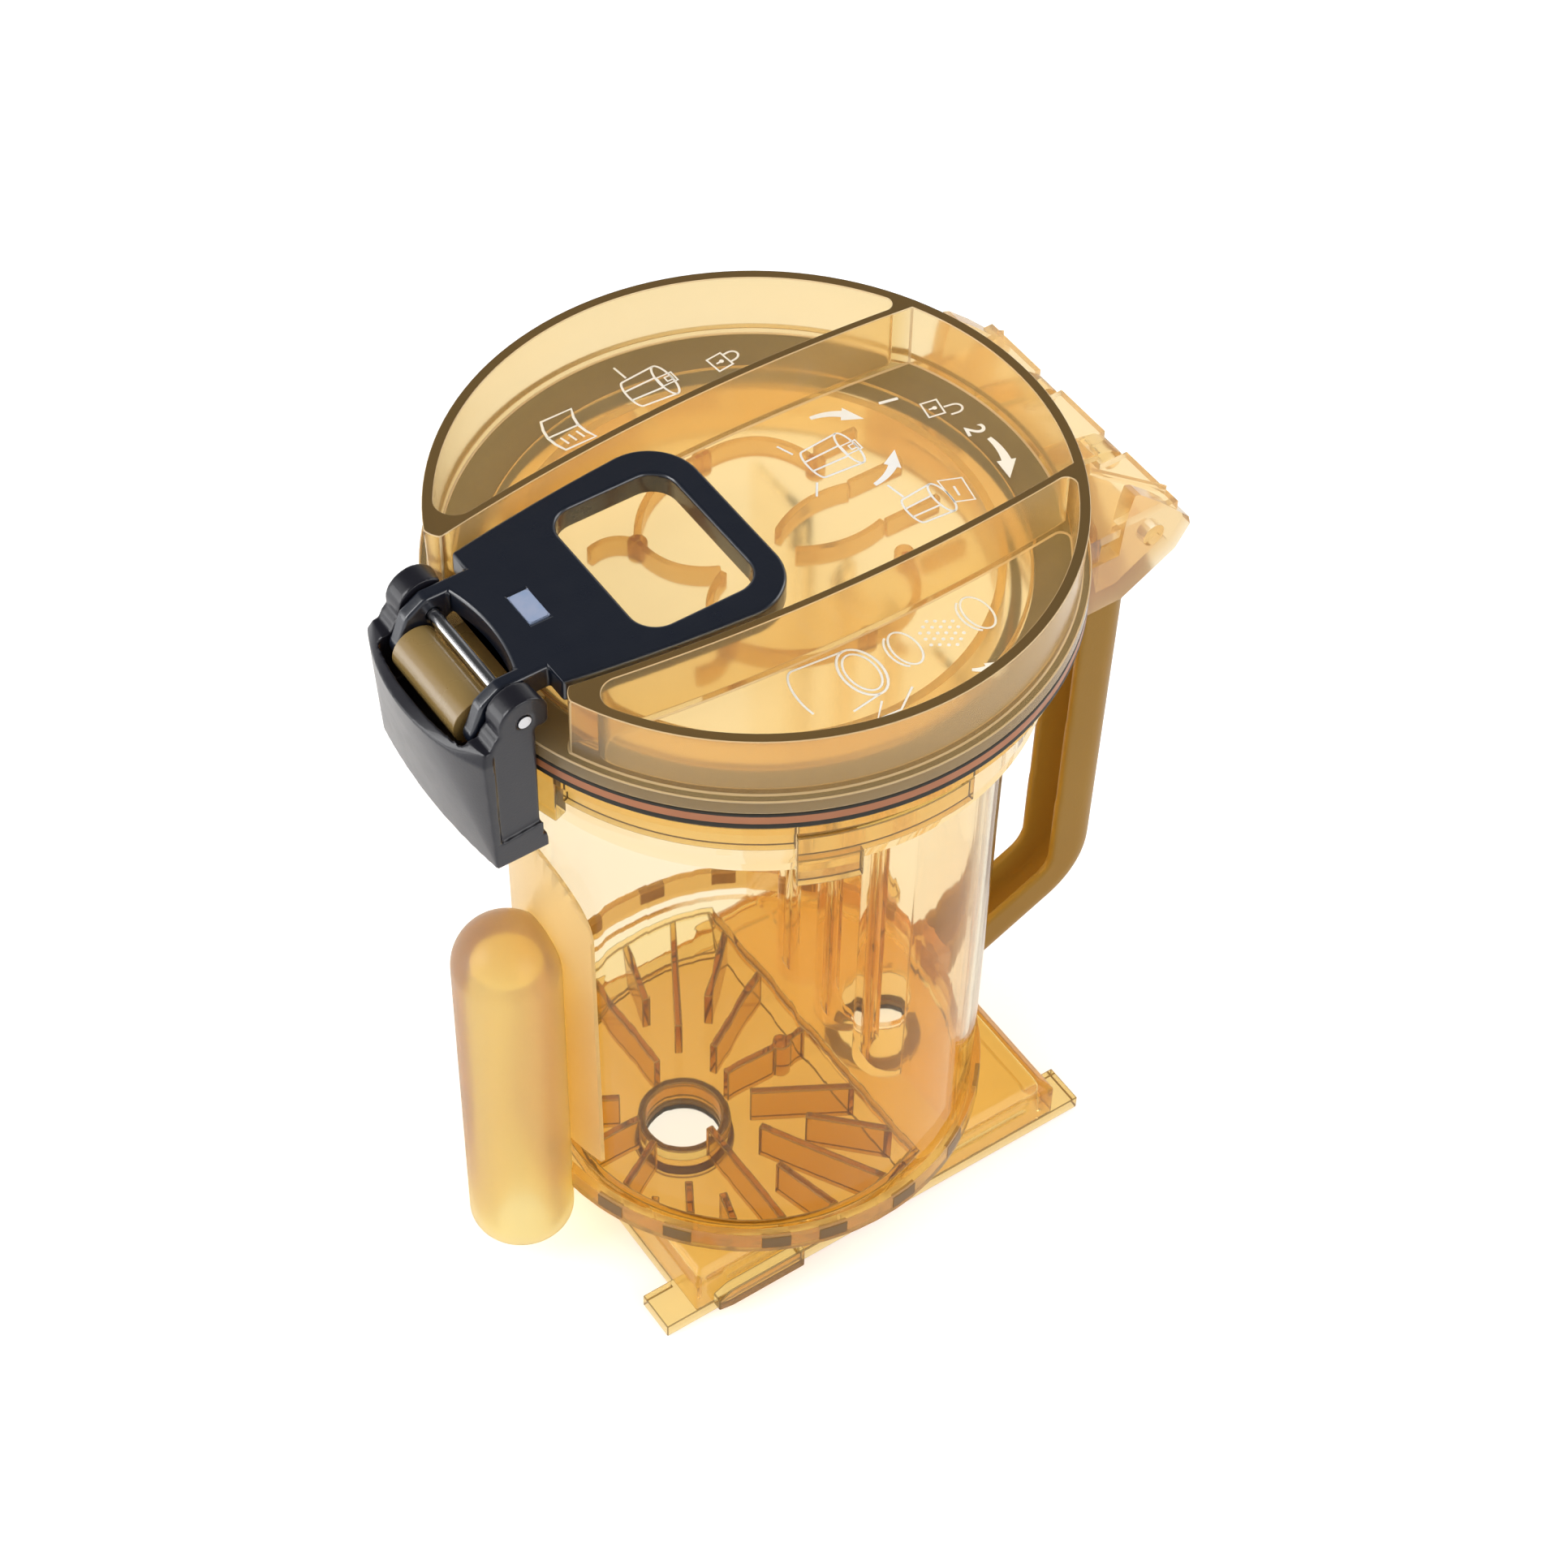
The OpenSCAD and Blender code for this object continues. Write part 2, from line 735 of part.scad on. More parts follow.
module handle() {
    low = bend_stations(handle_low, low_angle, grip_angle);
    high = bend_stations(handle_high, grip_angle, high_angle);
    foot = slid(low[0], low_angle, [handle_root_x, 0], [1, 0]);
    head = slid(high[len(high) - 1], high_angle, bracket_low - [0, seat_gap], bracket_normal);
    rings = concat([foot], low, high, [head]);
    n = len(handle_section);
    last = len(rings) - 1;
    half_n = n / 2;
    sides = [for (i = [0 : last - 1], j = [0 : n - 1]) let (k = (j + 1) % n)
        each [[i * n + j, i * n + k, (i + 1) * n + k], [i * n + j, (i + 1) * n + k, (i + 1) * n + j]]];
    // each end is a strip between the outer and the inner edge
    foot_cap = [for (j = [0 : half_n - 2])
        each [[j, n - 1 - j, j + 1], [j + 1, n - 1 - j, n - 2 - j]]];
    head_cap = [for (f = foot_cap) [f[2], f[1], f[0]] + last * n * [1, 1, 1]];
    color(frost)
    polyhedron([for (r = rings) each r], concat(sides, foot_cap, head_cap));
}

// ---- lid ----

lid_in = rim_r - lid_wall;
lid_draft = 0.5;
recess_gap = 0.5;

// Everything inside an arc of the bow radius, whose side lies at half on the +Y side
module bow_side(half) {
    translate([bow_x, half - bow_r]) circle(bow_r, $fn = 720);
}

module bowed_strip(half) {
    intersection() {
        bow_side(half);
        mirror([0, 1]) bow_side(half);
    }
}

// D-shaped pocket on the +Y side, with its corners rounded
module pocket_outline(corner) {
    offset(r = corner, $fn = 40)
        offset(r = -corner)
            difference() {
                circle(lid_in, $fn = 180);
                bow_side(channel_half + rib_t);
                translate([-rim_d, -rim_d]) square([2 * rim_d, rim_d]);
            }
}

// Tight corners at the hinge end, wide ones at the latch end
module pocket() {
    intersection() {
        pocket_outline(hinge_corner);
        square(rim_d);
    }
    intersection() {
        pocket_outline(latch_corner);
        translate([-rim_d, 0]) square([rim_d + weld, rim_d]);
    }
}

hinge_corner = 2.2;
latch_corner = 4.5;
mouth_x = -(rim_r - 9);
mouth_half = barrel_w / 2 + arm_gap + arm_t + 0.5 + ear_t + 0.9;
mouth_corner = 6;

// The lid's outline above its floor: round, with the latch's mouth cut out and its corners rounded
module lid_outline() {
    offset(r = mouth_corner, $fn = 60)
        offset(r = -mouth_corner)
            difference() {
                circle(rim_r + cut, $fn = 360);
                translate([-rim_d, -mouth_half]) square([rim_d + mouth_x, 2 * mouth_half]);
            }
}

module lid() {
    color(amber)
    difference() {
        union() {
            translate([0, 0, flange_z]) cylinder(r = flange_r, h = flange_t);
            intersection() {
                translate([0, 0, floor_z]) cylinder(r1 = rim_r - lid_draft, r2 = rim_r, h = lid_h);
                translate([0, 0, floor_z - cut]) linear_extrude(lid_h + 2 * cut) lid_outline();
            }
        }
        translate([0, 0, floor_z])
            linear_extrude(lid_h + cut) {
                pocket();
                mirror([0, 1]) pocket();
            }
        // the lever's channel, closed at the hinge end
        translate([0, 0, floor_z])
            linear_extrude(lid_h + cut)
                intersection() {
                    circle(lid_in);
                    bowed_strip(channel_half);
                }
        // underside of the floor
        translate([0, 0, flange_z - cut])
            cylinder(r = gasket_in - recess_gap, h = flange_t - floor_t + cut);
    }
}

spigot_r = vessel_r - vessel_wall - spigot_gap;

module lid_spigot() {
    spigot_t = 2;
    top = floor_z - floor_t;
    color(amber)
    difference() {
        translate([0, 0, flange_z - spigot_h]) cylinder(r = spigot_r, h = spigot_h + top - flange_z);
        translate([0, 0, flange_z - spigot_h - cut]) cylinder(r = spigot_r - spigot_t, h = tall);
    }
}

// Stiffening ribs and bosses under the floor
module lid_ribs() {
    rib_h = 5;
    rib_w = 1.6;
    lobes = 6;
    lobe_d = 15;
    lobe_in = 31;
    top = floor_z - floor_t;
    color(amber)
    translate([0, 0, top - rib_h])
        linear_extrude(rib_h) {
            difference() {
                circle(spigot_r - 14 + rib_w);
                circle(spigot_r - 14);
            }
            for (i = [0 : lobes - 1])
                rotate((i + 0.5) * 360 / lobes)
                    translate([spigot_r - lobe_in, 0])
                        difference() {
                            circle(lobe_d / 2 + rib_w);
                            circle(lobe_d / 2);
                        }
        }
}

module lid_gasket() {
    color(dark)
    translate([0, 0, rim_z + seat_gap])
        difference() {
            cylinder(r = flange_r, h = gasket_t - seat_gap);
            translate([0, 0, -cut]) cylinder(r = gasket_in, h = gasket_t + 2 * cut);
        }
}

// Two hooks of the lid that hang in the bracket's notches
module lid_hooks() {
    hook_w = notch_w - 2 * seat_gap - 0.4;
    knuckle_r = 2.3;
    arm_foot = flange_z;
    root_x = flange_r - 10;
    color(amber)
    for (side = [-1, 1])
        difference() {
            union() {
                rod(hinge_x, hinge_z, knuckle_r, side * notch_y - hook_w / 2, side * notch_y + hook_w / 2);
                side_plate(side * notch_y - hook_w / 2, side * notch_y + hook_w / 2)
                    polygon([[root_x, floor_z - 0.8], [flange_r, floor_z - 0.8],
                        [hinge_x - 0.8, hinge_z + knuckle_r + 2.2],
                        [hinge_x + knuckle_r, hinge_z + knuckle_r - 0.4],
                        [hinge_x + knuckle_r, hinge_z], [hinge_x - knuckle_r, hinge_z],
                        [hinge_x - knuckle_r - 1.2, shelf_z + 0.6], [flange_r, arm_foot],
                        [root_x, arm_foot]]);
            }
            translate([0, 0, rim_z]) cylinder(r = flange_r, h = tall);
        }
}

module latch_lug() {
    half = barrel_w / 2;
    lug_top = pivot_z + 1.1;
    lug_in_x = -(rim_r - 10);
    color(amber)
    difference() {
        union() {
            rod(pivot_x, pivot_z, barrel_d / 2, -half, half);
            side_plate(-half, half)
                polygon([[pivot_x, pivot_z - barrel_d / 2], [lug_in_x, pivot_z - barrel_d / 2],
                    [lug_in_x, floor_z + 0.5], [lug_in_x - 4, lug_top], [pivot_x, lug_top]]);
        }
        translate([0, 0, rim_z - cut]) cylinder(r = flange_r, h = floor_z - rim_z + cut);
        rod(pivot_x, pivot_z, pivot_pin_d / 2, -half - cut, half + cut);
    }
}

module pivot_pin() {
    color("silver")
    rod(pivot_x, pivot_z, pivot_pin_d / 2, -arm_out + 0.2, arm_out - 0.2);
}

// ---- lever ----

lever_back = -(rim_r - 8.6);
web_back = -(rim_r - 2.5);
window_inset = 21.4;
window_back = lever_back + window_inset;
window_half = 19.6;
window_corner = 6;
lever_corner = 12.5;
lever_half = channel_half - lever_gap;

function bow(x, half) = half - bow_r + sqrt(bow_r * bow_r - (x - bow_x) * (x - bow_x));

module lever_outline() {
    corner_x = -lever_end - lever_corner;
    corner_y = bow(corner_x, lever_half) - lever_corner;
    intersection() {
        bowed_strip(lever_half);
        translate([lever_back, -rim_d]) square([corner_x - lever_back, 2 * rim_d]);
    }
    for (side = [-1, 1])
        translate([corner_x, side * corner_y]) circle(lever_corner);
    translate([corner_x - cut, -corner_y]) square([lever_corner + cut, 2 * corner_y]);
}

inset_x = lever_back + 2.9;
inset_len = 4.9;
inset_half = 4.35;
inset_t = 0.8;

module lever() {
    boss_r = 4.2;
    window_end = -lever_end - 6.4;
    bottom = lever_top - lever_t;
    arm_root = lever_back + 11.4;
    color(dark)
    difference() {
        union() {
            difference() {
                translate([0, 0, bottom]) linear_extrude(lever_t) lever_outline();
                translate([0, 0, bottom - cut])
                    linear_extrude(lever_t + 2 * cut) rounded_rect(window_back, window_end, window_half, window_corner);
            }
            // web behind the plate, between the arms and clear of the barrel
            translate([web_back, -arm_out, bottom])
                cube([lever_back - web_back + cut, 2 * arm_out, lever_t]);
            // arms down to the pivot
            for (side = [-1, 1]) {
                y0 = side > 0 ? arm_in : -arm_out;
                rod(pivot_x, pivot_z, boss_r, y0, y0 + arm_t);
                side_plate(y0, y0 + arm_t)
                    polygon([[arm_root, bottom + 1], [arm_root, lever_top],
                        [pivot_x + 3.7, lever_top], [pivot_x - 1.3, lever_top - 3.3],
                        [pivot_x - boss_r + 0.2, pivot_z + 1],
                        [pivot_x, pivot_z - 2], [pivot_x + boss_r - 0.2, pivot_z + 1],
                        [lever_back - 0.6, bottom + 1]]);
            }
        }
        // seat of the inset
        translate([inset_x, -inset_half, lever_top - inset_t])
            cube([inset_len, 2 * inset_half, inset_t + cut]);
        rod(pivot_x, pivot_z, pivot_pin_d / 2 + run_gap, -arm_out - cut, arm_out + cut);
        rod(claw_x, claw_z, claw_pin_d / 2, -arm_out - cut, arm_out + cut);
    }
}

module lever_inset() {
    color("lightsteelblue")
    translate([inset_x, -inset_half, lever_top - inset_t])
        cube([inset_len, 2 * inset_half, inset_t]);
}

module claw_pin() {
    color("silver")
    rod(claw_x, claw_z, claw_pin_d / 2, -ear_out + 0.5, ear_out - 0.5);
}

// ---- claw ----

claw_in = flange_r + 0.7;
claw_half = ear_out + 0.2;
claw_back = pivot_x - 5.2;
claw_low_back = pivot_x - 3.6;
claw_rim_z = claw_z - 7.2;
claw_front = claw_x + 2.5;
claw_low_front = claw_x + 3.9;
ear_r = 6;
lip_gap = 0.6;

function arc_radius(half, bulge) = (half * half + bulge * bulge) / (2 * bulge);

// Level outline of the claw: an arc through its two corners and its middle, flat in front
module claw_slab(z, back, front, bulge, half) {
    r = arc_radius(half, bulge);
    translate([0, 0, z])
        linear_extrude(0.01)
            intersection() {
                translate([back - bulge + r, 0]) circle(r, $fn = 720);
                translate([back - bulge, -half]) square([front - back + bulge, 2 * half]);
            }
}

// Ear about the claw's pin, with a hollow neck down to the rim of the shell
module ear_profile() {
    front = claw_x + 6;
    translate([claw_x, claw_z]) circle(ear_r);
    polygon([[claw_x + ear_r - 0.3, claw_z - 1], [front - 3, claw_rim_z], [front, claw_rim_z - 12],
        [claw_back + 1, claw_rim_z - 12], [claw_back + 1, claw_rim_z], [claw_back + 1.8, claw_rim_z + 1.8],
        [claw_back + 3.2, claw_rim_z + 4.7], [claw_x - ear_r + 0.3, claw_z - 1]]);
}

module claw() {
    wide = claw_half - claw_recess;
    arm_room = arm_out + 0.5;
    room_back = claw_back - 1;
    room_floor = claw_bottom + foot_t + 17;
    room_bulge = 1.9;
    room_r = arc_radius(arm_room, room_bulge);
    foot_rise = 8;
    // sloping edge along the top of the shell
    edge_rise = 2.7;
    edge_in = 1;
    color(dark)
    difference() {
        union() {
            hull() {
                claw_slab(claw_bottom, claw_low_back, claw_low_front, claw_low_bulge, claw_half);
                claw_slab(claw_rim_z, claw_back, claw_front, claw_bulge, claw_half);
            }
            hull() {
                claw_slab(claw_rim_z - weld, claw_back, claw_front, claw_bulge, claw_half);
                claw_slab(claw_rim_z + edge_rise, claw_back + edge_in, claw_front, claw_bulge - 4,
                    claw_half - edge_in);
            }
            for (side = [-1, 1])
                side_plate(side > 0 ? ear_in : -wide, side > 0 ? wide : -ear_in) ear_profile();
        }
        // room for the keeper and the vessel's rim, above the foot and in front of it
        translate([0, 0, claw_bottom + foot_t]) cylinder(r = claw_in, h = claw_rim_z - claw_bottom);
        translate([0, 0, claw_bottom - cut]) cylinder(r = keeper_r + lip_gap, h = tall);
        // room for the barrel and the lever's arms
        intersection() {
            translate([room_back - room_bulge + room_r, 0, room_floor])
                cylinder(r = room_r, h = tall, $fn = 180);
            translate([-rim_d, -arm_room, claw_bottom]) cube([rim_d, 2 * arm_room, tall]);
        }
        // recess in each side, between the shell's edge and the foot
        for (side = [-1, 1])
            side_plate(side > 0 ? wide : -claw_half - cut, side > 0 ? claw_half + cut : -wide)
                polygon([[claw_back + 2.4, claw_rim_z + 3], [claw_low_back + 1.4, claw_bottom + foot_rise - 1],
                    [claw_x + 2.4, claw_bottom + foot_rise], [0, claw_bottom + foot_rise],
                    [0, claw_rim_z + tall / 2], [claw_back + 2.4, claw_rim_z + tall / 2]]);
        rod(claw_x, claw_z, claw_pin_d / 2 + run_gap, -ear_out - cut, ear_out + cut);
    }
}

base_plate();
plenum_box();
slide_rails();
basin_wall();
support_fins();
inlet_collar();
inlet_seal();
outlet_seal();
vessel_floor();
return_duct();
vessel_wall();
foot_ring();
foot_lugs();
rim_collar();
collar_band();
collar_tabs();
latch_keeper();
side_column();
column_pad();
bracket();
handle();
lid();
lid_spigot();
lid_ribs();
lid_gasket();
lid_hooks();
latch_lug();
pivot_pin();
lever();
lever_inset();
claw_pin();
claw();
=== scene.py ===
"""Looks of an absorbent canister: a clear amber vessel on a slide-in base, with a carrying
handle, a frosted side column and a hooked lid that a black draw latch holds down.

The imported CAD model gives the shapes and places. +X points to the handle, the latch is at -X,
and +Z is up. All lengths are in metres; MM turns the millimetres written here into metres.
"""

import json
import math

import bpy
from mathutils import Matrix, Vector


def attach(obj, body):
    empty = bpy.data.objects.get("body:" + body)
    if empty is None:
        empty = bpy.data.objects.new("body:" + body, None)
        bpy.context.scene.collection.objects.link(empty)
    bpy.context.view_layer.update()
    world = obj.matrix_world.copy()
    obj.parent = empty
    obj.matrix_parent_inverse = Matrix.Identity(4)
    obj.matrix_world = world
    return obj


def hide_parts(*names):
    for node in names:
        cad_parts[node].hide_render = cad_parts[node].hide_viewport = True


MM = 0.001

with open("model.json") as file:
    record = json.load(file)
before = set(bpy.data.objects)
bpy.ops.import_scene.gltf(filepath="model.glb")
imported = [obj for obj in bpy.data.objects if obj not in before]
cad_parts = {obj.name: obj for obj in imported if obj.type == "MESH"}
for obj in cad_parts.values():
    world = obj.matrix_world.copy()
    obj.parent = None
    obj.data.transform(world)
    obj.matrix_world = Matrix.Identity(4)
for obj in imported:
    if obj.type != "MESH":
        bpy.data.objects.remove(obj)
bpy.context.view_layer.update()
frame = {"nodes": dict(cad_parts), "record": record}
nodes = frame["nodes"]
bodies = frame["record"]["behaviour"]["bodies"]
body_of = {node: body for body, names in bodies.items() for node in names}


# ---- camera, floor and lamps ----

CAMERA_PLACE = Vector((-309.7, -450.0, 755.2)) * MM
CAMERA_PITCH = 49.11
CAMERA_ROLL = 1.47
CAMERA_TURN = -35.3
CAMERA_LENS = 83.85
SENSOR_WIDTH = 36
NEAR_CLIP = 0.01

BACKGROUND = (1.0, 1.0, 1.0, 1)

FLOOR_HALF = 3.0
FLOOR_DROP = 0.0002
FLOOR_COLOUR = (0.86, 0.855, 0.85, 1)
# The floor's own brightness, to the eye and in what shiny faces mirror
FLOOR_GLOW = 0.42
FLOOR_MIRRORED = 0.1
# Brightness of the floor through clear plastic, and how far it takes the place of its own look
FLOOR_THROUGH = 1.15
THROUGH_SHARE = 0.75

# Soft light from all around
SOFT_COLOUR = (0.97, 0.98, 1.0, 1)
SOFT_STRENGTH = 0.62
# What shiny faces mirror: at the horizon, overhead, and the height at which it is overhead
MIRRORED_HORIZON = 0.9
MIRRORED_OVERHEAD = 0.05
OVERHEAD = 0.7

# Place in metres, width and power of each lamp, and the point that they all face
LAMPS = {
    "key_lamp": ((-1.1, 0.35, 0.95), 0.7, 8),
    "fill_lamp": ((0.3, -1.2, 0.8), 0.8, 5),
    "back_lamp": ((1.2, -0.2, 0.9), 0.8, 5),
    "low_lamp": ((-1.1, 0.5, 0.2), 0.6, 3),
}
LAMP_TARGET = Vector((0, 0, 0.1))
# How often light may bend and bounce inside the clear walls
LIGHT_BOUNCES = 32


def deselect():
    bpy.ops.object.select_all(action="DESELECT")


def take(piece):
    """Makes a piece the only one selected, and the active one."""
    deselect()
    bpy.context.view_layer.objects.active = piece
    piece.select_set(True)


def make_camera():
    """A camera at the usual three-quarter view from above, on the latch side."""
    data = bpy.data.cameras.new("camera")
    data.lens = CAMERA_LENS
    data.sensor_width = SENSOR_WIDTH
    data.clip_start = NEAR_CLIP
    camera = bpy.data.objects.new("camera", data)
    bpy.context.scene.collection.objects.link(camera)
    camera.matrix_world = (
        Matrix.Translation(CAMERA_PLACE)
        @ Matrix.Rotation(math.radians(CAMERA_TURN), 4, "Z")
        @ Matrix.Rotation(math.radians(90 - CAMERA_PITCH), 4, "X")
        @ Matrix.Rotation(math.radians(CAMERA_ROLL), 4, "Z")
    )
    bpy.context.scene.camera = camera


def ray_kinds(tree, names):
    """1 where a ray of one of these kinds looks, 0 elsewhere."""
    path = tree.nodes.new("ShaderNodeLightPath")
    total = path.outputs[names[0]]
    for name in names[1:]:
        add = tree.nodes.new("ShaderNodeMath")
        add.operation = "MAXIMUM"
        tree.links.new(total, add.inputs[0])
        tree.links.new(path.outputs[name], add.inputs[1])
        total = add.outputs[0]
    return total


def times(tree, socket, factor):
    scale = tree.nodes.new("ShaderNodeMath")
    scale.operation = "MULTIPLY"
    scale.inputs[1].default_value = factor
    tree.links.new(socket, scale.inputs[0])
    return scale.outputs[0]


def make_floor():
    """A large pale floor. A little of its brightness is its own, so that it runs to white."""
    deselect()
    bpy.ops.mesh.primitive_plane_add(size=2 * FLOOR_HALF, location=(0, 0, -FLOOR_DROP))
    floor = bpy.context.object
    floor.name = "floor"
    material = bpy.data.materials.new("pale_floor")
    material.use_nodes = True
    tree = material.node_tree
    tree.nodes.clear()
    diffuse = tree.nodes.new("ShaderNodeBsdfDiffuse")
    diffuse.inputs["Color"].default_value = FLOOR_COLOUR
    seen = times(tree, ray_kinds(tree, ["Is Camera Ray"]), FLOOR_GLOW)
    mirrored = times(tree, ray_kinds(tree, ["Is Glossy Ray"]), FLOOR_MIRRORED)
    both_kinds = tree.nodes.new("ShaderNodeMath")
    tree.links.new(seen, both_kinds.inputs[0])
    tree.links.new(mirrored, both_kinds.inputs[1])
    glow = tree.nodes.new("ShaderNodeEmission")
    glow.inputs["Color"].default_value = BACKGROUND
    tree.links.new(both_kinds.outputs[0], glow.inputs["Strength"])
    both = tree.nodes.new("ShaderNodeAddShader")
    tree.links.new(diffuse.outputs[0], both.inputs[0])
    tree.links.new(glow.outputs[0], both.inputs[1])
    through = tree.nodes.new("ShaderNodeEmission")
    through.inputs["Color"].default_value = BACKGROUND
    through.inputs["Strength"].default_value = FLOOR_THROUGH
    mix = tree.nodes.new("ShaderNodeMixShader")
    share = times(tree, ray_kinds(tree, ["Is Transmission Ray"]), THROUGH_SHARE)
    tree.links.new(share, mix.inputs[0])
    tree.links.new(both.outputs[0], mix.inputs[1])
    tree.links.new(through.outputs[0], mix.inputs[2])
    out = tree.nodes.new("ShaderNodeOutputMaterial")
    tree.links.new(mix.outputs[0], out.inputs["Surface"])
    floor.data.materials.append(material)


def make_world():
    """White to the eye, a soft plain light, and darker overhead in what shiny faces mirror."""
    world = bpy.data.worlds.new("studio")
    bpy.context.scene.world = world
    world.use_nodes = True
    tree = world.node_tree
    tree.nodes.clear()
    out = tree.nodes.new("ShaderNodeOutputWorld")
    seen = tree.nodes.new("ShaderNodeBackground")
    seen.inputs["Color"].default_value = BACKGROUND
    light = tree.nodes.new("ShaderNodeBackground")
    light.inputs["Color"].default_value = SOFT_COLOUR
    light.inputs["Strength"].default_value = SOFT_STRENGTH
    mirrored = tree.nodes.new("ShaderNodeBackground")
    mirrored.inputs["Color"].default_value = BACKGROUND
    coords = tree.nodes.new("ShaderNodeTexCoord")
    split = tree.nodes.new("ShaderNodeSeparateXYZ")
    height = tree.nodes.new("ShaderNodeMapRange")
    height.inputs["From Min"].default_value = 0.0
    height.inputs["From Max"].default_value = OVERHEAD
    height.inputs["To Min"].default_value = MIRRORED_HORIZON
    height.inputs["To Max"].default_value = MIRRORED_OVERHEAD
    tree.links.new(coords.outputs["Generated"], split.inputs[0])
    tree.links.new(split.outputs["Z"], height.inputs["Value"])
    tree.links.new(height.outputs[0], mirrored.inputs["Strength"])
    shine = tree.nodes.new("ShaderNodeMixShader")
    tree.links.new(ray_kinds(tree, ["Is Glossy Ray"]), shine.inputs[0])
    tree.links.new(light.outputs[0], shine.inputs[1])
    tree.links.new(mirrored.outputs[0], shine.inputs[2])
    mix = tree.nodes.new("ShaderNodeMixShader")
    tree.links.new(ray_kinds(tree, ["Is Camera Ray", "Is Transmission Ray"]), mix.inputs[0])
    tree.links.new(shine.outputs[0], mix.inputs[1])
    tree.links.new(seen.outputs[0], mix.inputs[2])
    tree.links.new(mix.outputs[0], out.inputs["Surface"])


def make_lamp(name, place, size, power):
    """A square soft lamp that faces the middle of the canister."""
    data = bpy.data.lights.new(name, "AREA")
    data.size = size
    data.energy = power
    lamp = bpy.data.objects.new(name, data)
    bpy.context.scene.collection.objects.link(lamp)
    place = Vector(place)
    turn = (LAMP_TARGET - place).to_track_quat("-Z", "Y").to_matrix().to_4x4()
    lamp.matrix_world = Matrix.Translation(place) @ turn


def make_lamps():
    for name, (place, size, power) in LAMPS.items():
        make_lamp(name, place, size, power)


# ---- materials ----

DRIFT_DETAIL = 3
POLISH_DETAIL = 4
GRAIN_DETAIL = 2
# How many times finer the change in polish is than the drift of the tone
POLISH_FINENESS = 3
CLEAR_DRIFT_SCALE = 22
# The palest that a clear piece can tint the light of a lamp
SHADOW_PALENESS = 0.35

# Colour that thick amber turns the light, and the scale and depth of two grains
AMBER_DEPTH = (0.85, 0.66, 0.12)
FINE_GRAIN = (300, 0.000004)
FROST = (1300, 0.00003)


def make_finish_group():
    """Moulded plastic: a slow drift between two tones, uneven polish and a fine grain."""
    group = bpy.data.node_groups.new("moulded_finish", "ShaderNodeTree")
    face = group.interface
    for name in ("Tone", "Drift Tone"):
        face.new_socket(name=name, in_out="INPUT", socket_type="NodeSocketColor")
    for name in ("Drift Scale", "Polish Low", "Polish High", "Grain Scale", "Grain Depth"):
        face.new_socket(name=name, in_out="INPUT", socket_type="NodeSocketFloat")
    for name, kind in (("Colour", "NodeSocketColor"), ("Roughness", "NodeSocketFloat"),
            ("Normal", "NodeSocketVector")):
        face.new_socket(name=name, in_out="OUTPUT", socket_type=kind)
    tree = group
    given = tree.nodes.new("NodeGroupInput")
    result = tree.nodes.new("NodeGroupOutput")
    coords = tree.nodes.new("ShaderNodeTexCoord")

    def noise(scale_socket, detail):
        cloud = tree.nodes.new("ShaderNodeTexNoise")
        cloud.inputs["Detail"].default_value = detail
        tree.links.new(coords.outputs["Object"], cloud.inputs["Vector"])
        tree.links.new(scale_socket, cloud.inputs["Scale"])
        return cloud.outputs["Fac"]

    drift = noise(given.outputs["Drift Scale"], DRIFT_DETAIL)
    mix = tree.nodes.new("ShaderNodeMix")
    mix.data_type = "RGBA"
    tree.links.new(drift, mix.inputs["Factor"])
    tree.links.new(given.outputs["Tone"], mix.inputs["A"])
    tree.links.new(given.outputs["Drift Tone"], mix.inputs["B"])
    tree.links.new(mix.outputs["Result"], result.inputs["Colour"])
    polish = tree.nodes.new("ShaderNodeMapRange")
    finer = times(tree, given.outputs["Drift Scale"], POLISH_FINENESS)
    tree.links.new(noise(finer, POLISH_DETAIL), polish.inputs["Value"])
    tree.links.new(given.outputs["Polish Low"], polish.inputs["To Min"])
    tree.links.new(given.outputs["Polish High"], polish.inputs["To Max"])
    tree.links.new(polish.outputs[0], result.inputs["Roughness"])
    bump = tree.nodes.new("ShaderNodeBump")
    bump.inputs["Strength"].default_value = 1.0
    tree.links.new(given.outputs["Grain Depth"], bump.inputs["Distance"])
    tree.links.new(noise(given.outputs["Grain Scale"], GRAIN_DETAIL), bump.inputs["Height"])
    tree.links.new(bump.outputs["Normal"], result.inputs["Normal"])
    return group


finish_group = make_finish_group()


def new_material(name, tone, drift_tone, drift_scale, polish, grain):
    """A material whose colour, roughness and normal come from the moulded finish."""
    material = bpy.data.materials.new(name)
    material.use_nodes = True
    tree = material.node_tree
    shader = tree.nodes["Principled BSDF"]
    finish = tree.nodes.new("ShaderNodeGroup")
    finish.node_tree = finish_group
    finish.inputs["Tone"].default_value = (*tone, 1)
    finish.inputs["Drift Tone"].default_value = (*drift_tone, 1)
    finish.inputs["Drift Scale"].default_value = drift_scale
    finish.inputs["Polish Low"].default_value = polish[0]
    finish.inputs["Polish High"].default_value = polish[1]
    finish.inputs["Grain Scale"].default_value = grain[0]
    finish.inputs["Grain Depth"].default_value = grain[1]
    tree.links.new(finish.outputs["Colour"], shader.inputs["Base Color"])
    tree.links.new(finish.outputs["Roughness"], shader.inputs["Roughness"])
    tree.links.new(finish.outputs["Normal"], shader.inputs["Normal"])
    return material, tree, shader


